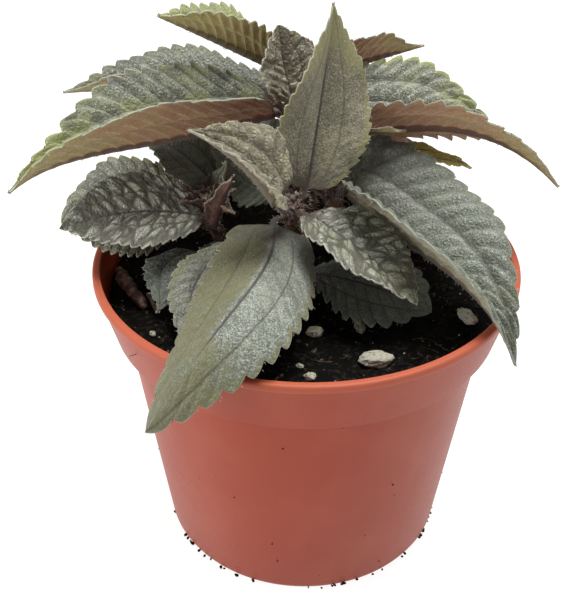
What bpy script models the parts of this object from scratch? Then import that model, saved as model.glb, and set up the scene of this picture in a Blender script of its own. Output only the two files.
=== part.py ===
"""A young friendship plant in a 12 cm thin-walled nursery pot, with its soil.

The pot stands on the origin with +Z up. Sizes below are in millimetres and degrees, and the
helper mm() turns them to metres. Each leaf is one blade with its petiole, laid along a midrib
between a base and a tip, folded along that midrib and cut with rounded teeth.
"""

import math
from dataclasses import dataclass

import bmesh
import bpy
from mathutils import Matrix, Quaternion, Vector, noise
from mathutils.bvhtree import BVHTree

MM = 0.001
GAP = 0.3  # air left between pieces that rest on or in each other

# Pot
RIM_RADIUS = 60.0
POT_HEIGHT = 91.0
RIM_INNER_RADIUS = 57.8
LIP_HEIGHT = 2.4
BAND_TOP_RADIUS = 59.2
BAND_FOOT_RADIUS = 55.2
BAND_HEIGHT = 17.6
BODY_TOP_RADIUS = 51.8
FOOT_RADIUS = 42.0
FOOT_ROUND = 2.5
POT_WALL = 1.2
POT_FLOOR = 1.8
FLOOR_CORNER = 0.6  # how far the inside of the wall comes in where it meets the floor
BAND_LEDGE = 0.4  # rise of the ledge under the band
INNER_LEDGE = 1.2  # height of the ledge inside the band, above its foot
LIP_SLOPE = 0.3
RIM_ROUND = 0.5
POT_SIDES = 48
DRAIN_HOLES = 8
DRAIN_RADIUS = 4.0
DRAIN_CIRCLE = 28.0

# Soil
SOIL_LEVEL = 84.0
SOIL_EDGE_DROP = 1.5  # how far the soil sinks beside the wall
SOIL_LUMP = 1.6
LUMP_PITCH = 11.0
FINE_PITCH = 4.8
SOIL_RINGS = 7
SOIL_SIDES = 36
STEM_HOLE_DEPTH = 10.0
HOLE_SIDES = 12
HOLE_EASE = 1.25  # a stem's hole is this much wider than the stem, which swells towards its node

# Grains and dry pieces
GRAIN_LUMP = 0.28
GRAIN_PITCH = 0.45
STICK_SIDES = 8
STICK_RINGS = 9
STICK_LUMP = 0.3
STICK_FLAT = 0.8  # a lying stick's height as a share of its width

# Stems
STEM_RINGS = 9
NODE_SWELL = 1.15
NODE_START = 0.7  # share of the stem's height at which its swollen node begins

# Leaves
BLADE_THICK = 0.7
PETIOLE_RADIUS = 1.0
PETIOLE_ROWS = 4
LEAF_COLUMNS = 4
TOOTH_DEPTH = 0.08  # as a share of the half width
TOOTH_LEAN = 0.3  # how far a tooth's tip leans forward, as a share of its pitch
RIPPLE_WAVES = 2.5
BASE_BLUNT = 0.6  # under 1 rounds the blade at its base

SHARP_ANGLE = math.radians(40)  # edges sharper than this stay crisp


def mm(*point):
    """A point in millimetres as a vector in metres."""
    return Vector(point) * MM


@dataclass(frozen=True)
class Stem:
    """An upright stem, from its foot in the soil to the node that its leaves grow from."""

    name: str
    foot: tuple
    top: tuple
    radius: float = 2.2


@dataclass(frozen=True)
class Leaf:
    """One leaf. Its blade runs from base to tip, and its petiole from the stem to base."""

    name: str
    stem: str
    joint: float  # height at which the petiole leaves the stem
    base: tuple
    tip: tuple
    width: float  # across the widest place, laid flat
    roll: float = 0.0  # turn about the line from base to tip
    arch: float = 0.0  # how far the midrib bows out on its upper side
    peak: float = 0.5  # where along the blade that bow is greatest
    sweep: float = 0.0  # how far the midrib bows to its left
    fold: float = 20.0  # how far each half is raised from flat at the midrib
    curl: float = 15.0  # how far the raised half bends back down by its margin
    twist: float = 0.0  # extra roll gained from base to tip
    widest: float = 0.42
    point: float = 1.2  # 1 narrows evenly to the tip, more draws it out, less keeps it blunt
    teeth: int = 10
    ripple: float = 0.6


@dataclass(frozen=True)
class Grain:
    """A lump of perlite resting on the soil."""

    name: str
    place: tuple
    size: tuple
    turn: float


@dataclass(frozen=True)
class Stick:
    """A dry stub or twig lying on the soil, from one end to the other."""

    name: str
    course: tuple
    radii: tuple


STEMS = (
    Stem("stem_front", (-3, 8, 74), (-4, -1, 108)),
    Stem("stem_back", (0, 22, 74), (-4, 18, 128)),
    Stem("stem_rear", (2, 38, 74), (-2, 36, 132)),
    Stem("stem_left", (-24, 12, 74), (-28, 7, 103)),
    Stem("stem_right", (10, 16, 74), (8, 15, 105)),
)

GRAINS = (
    Grain("grain_front", (17.5, -40.6), (8.5, 5.0, 3.6), 8),
    Grain("grain_middle", (2, -27.8), (4.6, 3.4, 2.6), 20),
    Grain("grain_shaded", (14, -25.5), (2.8, 5.6, 2.6), 10),
    Grain("grain_small", (0.2, -48.1), (2.6, 3.0, 2.0), 70),
    Grain("grain_pebble", (-2.2, -42.7), (1.9, 1.7, 1.5), 0),
    Grain("grain_speckled", (43, -23), (3.8, 7.5, 2.4), 20),
    Grain("grain_left", (-41, -29), (1.6, 2.2, 1.4), 30),
    Grain("grain_rear", (18, 47), (5.5, 4.0, 2.8), 40),
    Grain("grain_rear_left", (-30, 38), (4.0, 5.5, 2.6), -20),
)

STICKS = (
    Stick("dry_stub", ((-54.0, 3.0), (-51.5, -4.0), (-47.5, -11.0), (-44.0, -17.5)), (1.2, 2.1, 1.9, 1.2)),
    Stick("dry_twig", ((-44.6, -9.0), (-42.8, -13.0), (-40.6, -18.0)), (0.5, 0.6, 0.8)),
)

LEAVES = (
    Leaf("leaf_front_upright", "stem_front", 107, (0, 2, 111), (6.8, 14, 159), 30, roll=36, arch=-2,
         sweep=0.8, fold=28, twist=48, widest=0.38, point=0.95, teeth=12),
    Leaf("leaf_front_hanging", "stem_front", 104, (-9, -7, 105), (-40, -62, 78.5), 38, roll=-15,
         twist=30, arch=15, peak=0.6, sweep=11.5, fold=-19, widest=0.42, point=0.75, teeth=13),
    Leaf("leaf_front_upper_left", "stem_front", 108, (-8, -13, 114.5), (-30, -16, 137.5), 28, roll=-14,
         arch=2, fold=40, widest=0.33, teeth=8),
    Leaf("leaf_front_lower_right", "stem_front", 105, (0, -7, 108), (28, -32, 96), 26, roll=-5, arch=2,
         fold=20, point=0.85, teeth=9),
    Leaf("leaf_front_low_right", "stem_front", 92, (0, -8.5, 90.5), (33, -24.5, 88.5), 31, roll=8,
         arch=2, fold=8, widest=0.58, point=0.8, teeth=8),
    Leaf("leaf_front_low_left", "stem_left", 89, (-30, -1, 92.5), (-40, -24, 88), 22, arch=2, fold=10,
         teeth=7),
    Leaf("leaf_front_under_left", "stem_front", 94, (-18, -5, 97), (-32, -42, 86.5), 26, roll=-10,
         arch=1, fold=10, teeth=8),
    Leaf("leaf_left_main", "stem_left", 102, (-29, 1, 103), (-68, -4, 102), 29, roll=-18, arch=3,
         fold=15, point=0.85),
    Leaf("leaf_left_under", "stem_left", 94, (-36, 11, 97), (-70, 8, 97), 38, roll=-22, arch=4, fold=12,
         point=0.7),
    Leaf("leaf_left_rear", "stem_left", 98, (-26, 18, 103), (-46, 24, 117), 28, arch=2, fold=12,
         point=0.8, teeth=7),
    Leaf("leaf_left_bud", "stem_left", 101, (-26, 2, 100), (-20, -3, 118), 9, fold=40, teeth=5),
    Leaf("leaf_left_inner", "stem_left", 102, (-25, 10, 103), (-22.5, 11, 115), 8, fold=25, teeth=4),
    Leaf("leaf_back_long_left", "stem_back", 124, (-9, 17, 127), (-81, -2, 112), 50, roll=-2, arch=4,
         peak=0.75, fold=56, widest=0.4, point=1.4, teeth=14),
    Leaf("leaf_back_centre", "stem_back", 128, (-4, 16, 131), (-7.8, 20, 151), 20, arch=-1, fold=22,
         point=0.75, teeth=8),
    Leaf("leaf_back_right", "stem_back", 118, (5.5, 25, 117.2), (70, 5.5, 110.2), 36, roll=-54, arch=10,
         peak=0.6, fold=18, twist=20, point=1.0, teeth=12),
    Leaf("leaf_back_small", "stem_back", 122, (8, 16, 121.5), (27, 9, 125.5), 7, roll=-40, fold=20,
         teeth=4),
    Leaf("leaf_back_low_left", "stem_back", 101, (-6.5, 20, 101), (-27, 24, 112), 30, roll=-20, arch=2,
         fold=8, point=0.8, teeth=8),
    Leaf("leaf_rear_left", "stem_rear", 117, (-9, 37, 121), (-71, 36, 125), 29, arch=2.5, fold=52),
    Leaf("leaf_rear_top_left", "stem_rear", 127, (-9, 32, 135), (-40, 22, 153), 28, roll=8, fold=50,
         point=1.0),
    Leaf("leaf_rear_centre", "stem_rear", 125, (4, 32, 133.5), (-8, 37, 143), 16, roll=40, fold=25,
         point=0.8, teeth=7),
    Leaf("leaf_rear_top_right", "stem_rear", 121, (4, 50, 125), (37, 61, 130), 24, roll=-30, fold=40,
         teeth=8),
    Leaf("leaf_rear_right", "stem_rear", 120, (5, 42, 117), (58, 35, 112), 34.5, roll=16, arch=5,
         fold=26),
    Leaf("leaf_rear_low_left", "stem_rear", 98, (-6, 45, 99), (-36, 70, 92), 28, arch=5, fold=20,
         teeth=8),
    Leaf("leaf_rear_low_right", "stem_rear", 99, (7, 43, 100), (40, 66, 92), 27, arch=5, fold=15,
         teeth=8),
    Leaf("leaf_rear_middle", "stem_rear", 109, (-1, 44, 110), (3, 80, 95), 26, arch=6, fold=18,
         teeth=9),
    Leaf("leaf_rear_back_left", "stem_rear", 114, (-9, 43, 115), (-52, 63, 104), 28, arch=5, fold=20,
         teeth=9),
    Leaf("leaf_rear_back_right", "stem_rear", 112, (5, 44, 112.5), (46, 69, 103), 30, arch=5, fold=24,
         teeth=9),
    Leaf("leaf_right_big", "stem_right", 101, (12, 8, 107), (53, -42, 84), 46, roll=-8, arch=7,
         peak=0.7, fold=50, widest=0.32, point=1.1, teeth=14),
    Leaf("leaf_right_rear", "stem_right", 102, (18, 20, 105), (48, 19, 109), 15, arch=5, fold=15,
         teeth=8),
    Leaf("leaf_right_back", "stem_right", 94, (17, 22, 96), (48, 46, 92), 26, arch=5, fold=18, teeth=8),
)


def material(name, colour, roughness):
    """A Principled material in one colour."""
    made = bpy.data.materials.new(name)
    made.use_nodes = True
    shader = made.node_tree.nodes["Principled BSDF"]
    shader.inputs["Base Color"].default_value = (*colour, 1.0)
    shader.inputs["Roughness"].default_value = roughness
    return made


def add_object(name, shape, finish):
    """Puts a mesh or a curve in the scene under a name, with one material."""
    made = bpy.data.objects.new(name, shape)
    shape.materials.append(finish)
    bpy.context.scene.collection.objects.link(made)
    return made


def mesh_of(bm, name):
    """Turns a bmesh to a smooth-shaded mesh with its faces pointing out."""
    bmesh.ops.recalc_face_normals(bm, faces=bm.faces)
    mesh = bpy.data.meshes.new(name)
    bm.to_mesh(mesh)
    bm.free()
    mesh.shade_smooth()
    mesh.set_sharp_from_angle(angle=SHARP_ANGLE)
    return mesh


def turned(profile, sides):
    """A closed solid turned from a closed profile of (radius, height) points in millimetres."""
    bm = bmesh.new()
    points = [bm.verts.new(mm(radius, 0, height)) for radius, height in profile]
    edges = [bm.edges.new(pair) for pair in zip(points, points[1:] + points[:1])]
    bmesh.ops.spin(
        bm,
        geom=points + edges,
        axis=(0, 0, 1),
        cent=(0, 0, 0),
        angle=math.tau,
        steps=sides,
        use_merge=True,
    )
    bmesh.ops.remove_doubles(bm, verts=bm.verts, dist=0.00001)
    return bm


def pot_wall_radius(height):
    """The pot body's outer radius at a height below its band."""
    share = height / (POT_HEIGHT - BAND_HEIGHT)
    return FOOT_RADIUS + (BODY_TOP_RADIUS - FOOT_RADIUS) * share


def make_pot(finish):
    """The thin-walled pot: a rolled rim, a band under it, a tapered body and a drained floor."""
    band_foot = POT_HEIGHT - BAND_HEIGHT
    profile = (
        (0, 0),
        (FOOT_RADIUS - FOOT_ROUND, 0),
        (FOOT_RADIUS - FOOT_ROUND * 0.25, FOOT_ROUND * 0.3),
        (pot_wall_radius(FOOT_ROUND), FOOT_ROUND),
        (BODY_TOP_RADIUS, band_foot),
        (BAND_FOOT_RADIUS, band_foot + BAND_LEDGE),
        (BAND_TOP_RADIUS, POT_HEIGHT - LIP_HEIGHT),
        (RIM_RADIUS, POT_HEIGHT - LIP_HEIGHT + LIP_SLOPE),
        (RIM_RADIUS, POT_HEIGHT - RIM_ROUND),
        (RIM_RADIUS - RIM_ROUND, POT_HEIGHT),
        (RIM_INNER_RADIUS, POT_HEIGHT),
        (RIM_INNER_RADIUS, POT_HEIGHT - LIP_HEIGHT),
        (BAND_FOOT_RADIUS - POT_WALL, band_foot + INNER_LEDGE),
        (BODY_TOP_RADIUS - POT_WALL, band_foot - BAND_LEDGE),
        (pot_wall_radius(POT_FLOOR) - POT_WALL - FLOOR_CORNER, POT_FLOOR),
        (0, POT_FLOOR),
    )
    pot = add_object("pot", mesh_of(turned(profile, POT_SIDES), "pot"), finish)
    drains = bmesh.new()
    for step in range(DRAIN_HOLES):
        angle = math.tau * (step + 0.5) / DRAIN_HOLES
        place = (DRAIN_CIRCLE * math.cos(angle), DRAIN_CIRCLE * math.sin(angle), 0)
        add_rod(drains, place, DRAIN_RADIUS, 4 * POT_FLOOR)
    cut(pot, mesh_of(drains, "drains"))
    return pot


def add_rod(bm, centre, radius, length):
    """Adds an upright round rod to the bmesh of a cutter."""
    rod = bmesh.ops.create_cone(
        bm,
        cap_ends=True,
        segments=HOLE_SIDES,
        radius1=radius * MM,
        radius2=radius * MM,
        depth=length * MM,
    )
    bmesh.ops.translate(bm, verts=rod["verts"], vec=mm(*centre))


def cut(body, cutter_mesh):
    """Cuts a closed mesh out of an object."""
    cutter = bpy.data.objects.new(body.name + "_cutter", cutter_mesh)
    cutter.hide_render = True
    cutter.display_type = "WIRE"
    bpy.context.scene.collection.objects.link(cutter)
    boolean = body.modifiers.new("cut", "BOOLEAN")
    boolean.operation = "DIFFERENCE"
    boolean.object = cutter


def soil_height(x, y):
    """Height of the lumpy soil at a place, in millimetres."""
    lump = noise.noise(Vector((x / LUMP_PITCH, y / LUMP_PITCH, 3.7)))
    fine = noise.noise(Vector((x / FINE_PITCH, y / FINE_PITCH, 9.1)))
    return SOIL_LEVEL + SOIL_LUMP * (lump + 0.5 * fine)


def inner_radius(height):
    """The pot's inner radius at a height in its band."""
    low = POT_HEIGHT - BAND_HEIGHT + INNER_LEDGE
    high = POT_HEIGHT - LIP_HEIGHT
    share = (height - low) / (high - low)
    return BAND_FOOT_RADIUS - POT_WALL + (RIM_INNER_RADIUS - BAND_FOOT_RADIUS + POT_WALL) * share


def make_soil(finish):
    """The soil that fills the pot, lumpy on top, with a plain hole for each stem. Returns its surface."""
    ledge = POT_HEIGHT - BAND_HEIGHT
    clear = 2 * GAP
    edge = inner_radius(SOIL_LEVEL - SOIL_EDGE_DROP) - clear
    rings = [(edge * (SOIL_RINGS - step) / SOIL_RINGS, SOIL_LEVEL) for step in range(1, SOIL_RINGS)]
    profile = (
        (0, POT_FLOOR + GAP),
        (pot_wall_radius(POT_FLOOR) - POT_WALL - FLOOR_CORNER - clear, POT_FLOOR + GAP),
        (BODY_TOP_RADIUS - POT_WALL - clear, ledge - BAND_LEDGE),
        (BAND_FOOT_RADIUS - POT_WALL - clear, ledge + INNER_LEDGE + BAND_LEDGE),
        (edge, SOIL_LEVEL - SOIL_EDGE_DROP),
        *rings,
        (0, SOIL_LEVEL),
    )
    bm = turned(profile, SOIL_SIDES)
    for vert in bm.verts:
        if vert.co.z > (SOIL_LEVEL - 1) * MM:
            vert.co.z = soil_height(vert.co.x / MM, vert.co.y / MM) * MM
    ground = BVHTree.FromBMesh(bm)
    soil = add_object("soil", mesh_of(bm, "soil"), finish)
    holes = bmesh.new()
    for stem in STEMS:
        x, y, z = stem.foot
        rod = 2 * STEM_HOLE_DEPTH
        add_rod(holes, (x, y, z + rod / 2), stem.radius * HOLE_EASE + GAP, rod + 2 * GAP)
    cut(soil, mesh_of(holes, "stem_holes"))
    return ground


def settle(bm, ground):
    """Lifts a piece so that it clears the soil under it by the usual gap."""
    lifts = []
    for vert in bm.verts:
        hit = ground.ray_cast(vert.co + mm(0, 0, 200), Vector((0, 0, -1)))
        if hit[0] is not None:
            lifts.append(hit[0].z - vert.co.z)
    bmesh.ops.translate(bm, verts=bm.verts, vec=Vector((0, 0, max(lifts) + GAP * MM)))


def make_grain(grain, ground, finish):
    """One uneven lump of perlite."""
    bm = bmesh.new()
    bmesh.ops.create_icosphere(bm, subdivisions=2, radius=0.5 * MM)
    for vert in bm.verts:
        lump = noise.noise(vert.co / MM / GRAIN_PITCH + Vector(grain.place + (0,)))
        vert.co *= 1 + GRAIN_LUMP * lump
    bmesh.ops.scale(bm, verts=bm.verts, vec=Vector(grain.size))
    bmesh.ops.rotate(bm, verts=bm.verts, matrix=Matrix.Rotation(math.radians(grain.turn), 3, "Z"))
    bmesh.ops.translate(bm, verts=bm.verts, vec=mm(*grain.place, SOIL_LEVEL))
    settle(bm, ground)
    return add_object(grain.name, mesh_of(bm, grain.name), finish)


def make_stick(stick, ground, finish):
    """A knobbly dry piece: rings of points along its course, joined and capped."""
    knots = len(stick.course) - 1
    bm = bmesh.new()
    rings = []
    for row in range(STICK_RINGS):
        share = row / (STICK_RINGS - 1) * knots
        knot = min(int(share), knots - 1)
        blend = share - knot
        start, end = Vector(stick.course[knot]), Vector(stick.course[knot + 1])
        centre = start.lerp(end, blend)
        across = (end - start).normalized().orthogonal()
        radius = stick.radii[knot] * (1 - blend) + stick.radii[knot + 1] * blend
        ring = []
        for side in range(STICK_SIDES):
            angle = math.tau * side / STICK_SIDES
            lump = 1 + STICK_LUMP * noise.noise(Vector((row * 0.9, side * 1.3, radius)))
            out = radius * lump * math.cos(angle)
            high = radius * lump * math.sin(angle) * STICK_FLAT
            ring.append(bm.verts.new(mm(*(centre + across * out), SOIL_LEVEL + high)))
        rings.append(ring)
    for near, far in zip(rings, rings[1:]):
        for side in range(STICK_SIDES):
            after = (side + 1) % STICK_SIDES
            bm.faces.new((near[side], near[after], far[after], far[side]))
    bm.faces.new(rings[0])
    bm.faces.new(rings[-1])
    bmesh.ops.triangulate(bm, faces=bm.faces)
    settle(bm, ground)
    return add_object(stick.name, mesh_of(bm, stick.name), finish)


def stem_radius(stem, height):
    """The stem's radius at a height: even, with a slight swelling at the node near its top."""
    share = (min(height, stem.top[2]) - stem.foot[2]) / (stem.top[2] - stem.foot[2])
    if share < NODE_START:
        return stem.radius
    into_node = (share - NODE_START) / (1 - NODE_START)
    return stem.radius * (1 + (NODE_SWELL - 1) * math.sin(math.pi * into_node))


def stem_point(stem, height):
    """The stem's centre at a height: upright in the soil, then leaning to its top."""
    foot = Vector(stem.foot)
    top = Vector(stem.top)
    height = min(height, top.z)
    start = foot.z + STEM_HOLE_DEPTH + 1.5
    if height <= start:
        return Vector((foot.x, foot.y, height))
    share = (height - start) / (top.z - start)
    eased = share * share * (3 - 2 * share)
    return Vector((foot.x + (top.x - foot.x) * eased, foot.y + (top.y - foot.y) * eased, height))


def make_stem(stem, finish):
    """A round stem with a slightly swollen node at its top."""
    curve = bpy.data.curves.new(stem.name, "CURVE")
    curve.dimensions = "3D"
    curve.bevel_depth = stem.radius * MM
    curve.bevel_resolution = 1
    curve.use_fill_caps = True
    spline = curve.splines.new("POLY")
    spline.points.add(STEM_RINGS - 1)
    for index, point in enumerate(spline.points):
        share = index / (STEM_RINGS - 1)
        height = stem.foot[2] + (stem.top[2] - stem.foot[2]) * share
        point.co = (*(stem_point(stem, height) * MM), 1)
        point.radius = stem_radius(stem, height) / stem.radius
    return add_object(stem.name, curve, finish)


def bow(share, peak):
    """Rises from 0 at both ends of the blade to 1 at its peak."""
    early = max(1.0, peak / (1 - peak))
    late = max(1.0, (1 - peak) / peak)
    return (share / peak) ** early * ((1 - share) / (1 - peak)) ** late


class Blade:
    """The surface of one leaf, worked out from its measures."""

    def __init__(self, leaf, stems):
        self.leaf = leaf
        self.base = Vector(leaf.base)
        self.chord = Vector(leaf.tip) - self.base
        along = self.chord.normalized()
        up = Vector((0, 0, 1))
        self.rise = (up - along * up.dot(along)).normalized()
        self.aside = self.rise.cross(along)
        stem = stems[leaf.stem]
        centre = stem_point(stem, leaf.joint)
        grows = (stem_point(stem, leaf.joint) - stem_point(stem, leaf.joint - 1)).normalized()
        out = (self.base - centre).normalized()
        rising = abs(out.dot(grows))
        level = math.sqrt(1 - rising * rising)
        if leaf.joint < stem.top[2]:
            clear = stem_radius(stem, leaf.joint) + PETIOLE_RADIUS * rising + GAP
            self.root = centre + out * clear / level
        else:
            self.root = centre + grows * (PETIOLE_RADIUS * level + GAP)
        self.wave_start = sum(map(ord, leaf.name)) % 7

    def midrib(self, share):
        """The midrib's place at a share of the blade's length."""
        leaf = self.leaf
        place = self.base + self.chord * share
        place += self.rise * leaf.arch * bow(share, leaf.peak)
        return place + self.aside * leaf.sweep * bow(share, 0.5)

    def frame(self, share):
        """The midrib's place with the directions to its left and out of its upper side."""
        step = 0.01
        ahead = self.midrib(min(share + step, 1.0)) - self.midrib(max(share - step, 0.0))
        ahead.normalize()
        left = (self.aside - ahead * self.aside.dot(ahead)).normalized()
        turn = self.leaf.roll + self.leaf.twist * share
        left.rotate(Quaternion(ahead, math.radians(turn)))
        return self.midrib(share), left, ahead.cross(left)

    def half_width(self, share):
        """Half the blade's width at a share of its length, laid flat."""
        bulge = math.log(0.5) / math.log(self.leaf.widest)
        power = BASE_BLUNT + (self.leaf.point - BASE_BLUNT) * share
        return self.leaf.width / 2 * math.sin(math.pi * min(share, 1.0) ** bulge) ** power

    def point(self, share, across, under):
        """A point of the upper face, or of the face under it: across runs from -1 to 1."""
        centre, left, up = self.frame(share)
        fold = math.radians(self.leaf.fold)
        curl = math.radians(self.leaf.curl) + 1e-4
        out = abs(across)
        side = math.copysign(1, across)
        width = self.half_width(share)
        reach = (math.sin(fold) - math.sin(fold - curl * out)) / curl
        rise = (math.cos(fold - curl * out) - math.cos(fold)) / curl
        wave = math.sin(math.tau * RIPPLE_WAVES * share + self.wave_start + side)
        rise_mm = width * rise + self.leaf.ripple * out * out * wave * min(1, 4 * share * (1 - share) * 2)
        place = centre + left * side * width * reach + up * rise_mm
        if not under:
            return place
        slope = fold - curl * out
        if out < 1e-6:
            return place - up * BLADE_THICK / math.cos(fold)
        return place - (up * math.cos(slope) - left * side * math.sin(slope)) * BLADE_THICK

    def petiole(self, share, across, under):
        """A point of the petiole's skin, from the stem at 0 to the blade's base at 1."""
        start, end = self.root, self.base
        _, left, up = self.frame(0.0)
        ahead = left.cross(up)
        reach = (end - start).length * 0.4
        first = start + (end - start).normalized() * reach
        last = end - ahead * reach
        rest = 1 - share
        centre = start * rest**3 + first * 3 * share * rest**2 + last * 3 * share**2 * rest + end * share**3
        along = (first - start) * rest**2 + (last - first) * 2 * share * rest + (end - last) * share**2
        along.normalize()
        left = (left - along * left.dot(along)).normalized()
        up = along.cross(left)
        high = max(PETIOLE_RADIUS * math.sqrt(1 - across * across), 0.3)
        return centre + left * across * PETIOLE_RADIUS + up * (-high if under else high)


def leaf_place(blade, row, across, under):
    """Where a grid point of a leaf goes: rows run up the petiole, then along the blade."""
    if row < PETIOLE_ROWS:
        return blade.petiole(row / (PETIOLE_ROWS - 1), across, under)
    teeth = blade.leaf.teeth
    step = row - PETIOLE_ROWS + 1
    share = step / (2 * teeth)
    at_margin = abs(across) > 0.99
    if at_margin and step % 2 and share < 1:
        share += TOOTH_LEAN / (2 * teeth)
    elif at_margin:
        across *= 1 - TOOTH_DEPTH
    return blade.point(min(share, 1.0), across, under)


def make_leaf(leaf, stems, finish):
    """One leaf as a closed slab: a grid laid on the blade, given a wall and drawn to a point."""
    blade = Blade(leaf, stems)
    rows = PETIOLE_ROWS + 2 * leaf.teeth
    bm = bmesh.new()
    bmesh.ops.create_grid(bm, x_segments=LEAF_COLUMNS, y_segments=rows - 1, size=1)
    row_of = bm.verts.layers.int.new("row")
    column_of = bm.verts.layers.int.new("column")
    for vert in bm.verts:
        vert[column_of] = round((vert.co.x + 1) / 2 * LEAF_COLUMNS)
        vert[row_of] = round((vert.co.y + 1) / 2 * (rows - 1))

    def place(vert, under):
        across = vert[column_of] / LEAF_COLUMNS * 2 - 1
        return leaf_place(blade, vert[row_of], across, under) * MM

    for vert in bm.verts:
        vert.co = place(vert, under=False)
    end = [vert for vert in bm.verts if vert[row_of] == rows - 1]
    bmesh.ops.pointmerge(bm, verts=end, merge_co=end[0].co)
    bmesh.ops.triangulate(bm, faces=bm.faces)
    walls = bmesh.ops.extrude_face_region(bm, geom=bm.faces[:])
    lower = [item for item in walls["geom"] if isinstance(item, bmesh.types.BMVert)]
    for vert in lower:
        vert.co = place(vert, under=True)
    bmesh.ops.triangulate(bm, faces=[face for face in bm.faces if len(face.verts) > 3])
    return add_object(leaf.name, mesh_of(bm, leaf.name), finish)


def gather(name):
    """Parents every piece to one empty at the origin, so that the plant moves as one thing."""
    holder = bpy.data.objects.new(name, None)
    for piece in list(bpy.context.scene.collection.objects):
        piece.parent = holder
    bpy.context.scene.collection.objects.link(holder)


def main():
    for old in list(bpy.data.objects):
        bpy.data.objects.remove(old, do_unlink=True)
    plastic = material("terracotta_polypropylene", (0.34, 0.10, 0.065), 0.45)
    peat = material("peat", (0.012, 0.010, 0.008), 0.95)
    perlite = material("perlite", (0.55, 0.53, 0.46), 0.9)
    green = material("leaf", (0.15, 0.17, 0.11), 0.6)
    bark = material("stem", (0.12, 0.05, 0.035), 0.7)
    make_pot(plastic)
    ground = make_soil(peat)
    for grain in GRAINS:
        make_grain(grain, ground, perlite)
    for stick in STICKS:
        make_stick(stick, ground, bark)
    stems = {stem.name: stem for stem in STEMS}
    for stem in STEMS:
        make_stem(stem, bark)
    for leaf in LEAVES:
        make_leaf(leaf, stems, green)
    gather("potted_plant")


main()
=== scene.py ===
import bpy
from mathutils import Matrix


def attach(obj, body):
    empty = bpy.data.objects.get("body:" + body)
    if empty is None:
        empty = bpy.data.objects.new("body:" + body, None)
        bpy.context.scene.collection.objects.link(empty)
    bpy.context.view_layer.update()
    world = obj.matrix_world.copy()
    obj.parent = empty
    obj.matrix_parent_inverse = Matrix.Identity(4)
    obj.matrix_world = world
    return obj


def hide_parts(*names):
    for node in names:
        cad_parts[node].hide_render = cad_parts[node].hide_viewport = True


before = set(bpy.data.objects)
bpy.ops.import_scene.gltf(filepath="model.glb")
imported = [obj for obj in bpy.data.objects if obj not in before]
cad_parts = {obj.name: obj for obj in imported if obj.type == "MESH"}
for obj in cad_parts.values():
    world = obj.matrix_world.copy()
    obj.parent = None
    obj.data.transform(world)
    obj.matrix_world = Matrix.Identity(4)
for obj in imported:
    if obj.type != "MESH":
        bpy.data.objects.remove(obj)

"""Looks for the potted friendship plant: its pot, soil, stems, leaves and studio.

Sizes are in millimetres and degrees, in the frame of the CAD part, and a finished mesh is scaled
to metres. Each leaf repeats the measures of its CAD leaf, and is then cut with its true number of
teeth, quilted between its veins and given its skins, veins and hairs.
"""

import logging
import math
import random
from dataclasses import dataclass, field
from enum import Enum

import bmesh
import bpy
from mathutils import Matrix, Quaternion, Vector, noise
from mathutils.bvhtree import BVHTree

LOG = logging.getLogger("friendship_plant")
MM = 0.001
NOISE_SEED = 7  # without it the warp of the blisters takes its seed from the clock
SOIL_LEVEL = 84.0
ABOVE = 200.0  # a height over the whole plant, from which rays fall on the soil
HAIR_FOOT = 0.09  # a hair's radius where it grows, a little coarse so that it shows
HAIR_TIP = 0.015
# Material numbers: a leaf's upper skin and a stem's skin are 0.
UNDERSIDE = 1
LEAF_HAIR = 2
STEM_HAIR = 1
PLACE = "place_on_leaf"  # the layer that keeps each vertex's place across the leaf and its row
Socket = bpy.types.NodeSocket
# Some inputs go by number. A Map Range's 0 is its value, 1 and 2 are the ends that it comes from, and
# 3 and 4 those that it goes to. A colour Mix's 0 is its share, 6 and 7 its colours, and output 2 its
# colour. A multiply-add multiplies 0 by 1 and adds 2.
EASE = {"interpolation_type": "SMOOTHSTEP"}
BLEND = {"data_type": "RGBA"}
# What a leaf's mesh keeps at each vertex: distances in millimetres, counts of side veins, and shares.
MARKS = (
    "from_midrib", "from_lateral", "from_margin", "along", "rib", "cell", "swell", "green", "flush_and_shade",
    "petiole", "keel",
)
SKIN_MARKS = ("from_midrib", "from_lateral", "from_margin", "rib", "cell", "swell", "green", "flush_and_shade")
UNDER_MARKS = ("from_midrib", "from_lateral", "from_margin", "along", "rib", "petiole")
FAR = 3.0  # so far from a vein or a margin that none of it shows
PETIOLE_MARKS = {
    "petiole": 1.0, "from_margin": FAR, "from_lateral": FAR, "rib": 0.5, "cell": 1.0, "swell": 1.0,
    "flush_and_shade": 1.0,
}


def linear(code: str) -> tuple[float, float, float, float]:
    """Turns an sRGB hex colour to a linear one with alpha.

    Args:
        code: Six hex digits, with or without a hash mark.

    Returns:
        The linear red, green, blue and alpha.
    """
    digits = code.lstrip("#")
    parts = [int(digits[at:at + 2], 16) / 255 for at in (0, 2, 4)]
    bent = [part / 12.92 if part <= 0.04045 else ((part + 0.055) / 1.055) ** 2.4 for part in parts]
    return (*bent, 1.0)


def per_metre(size: float) -> float:
    """Texture scale whose features are a size in millimetres apart."""
    return 1 / (size * MM)


def smooth(low: float, high: float, value: float) -> float:
    """Eases from 0 at low to 1 at high.

    Args:
        low: Value at which the result leaves 0.
        high: Value at which the result reaches 1.
        value: The value to ease.

    Returns:
        A number from 0 to 1.
    """
    share = min(max((value - low) / (high - low), 0.0), 1.0)
    return share * share * (3 - 2 * share)


def feed(node: bpy.types.Node, inputs: dict) -> None:
    """Sets a node's inputs: a socket is linked to its input, and any other value is set on it.

    Args:
        node: The node.
        inputs: Input name or index to a value, or to the socket that feeds it.
    """
    for name, value in inputs.items():
        if isinstance(value, Socket):
            node.id_data.links.new(value, node.inputs[name])
        else:
            node.inputs[name].default_value = value


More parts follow.
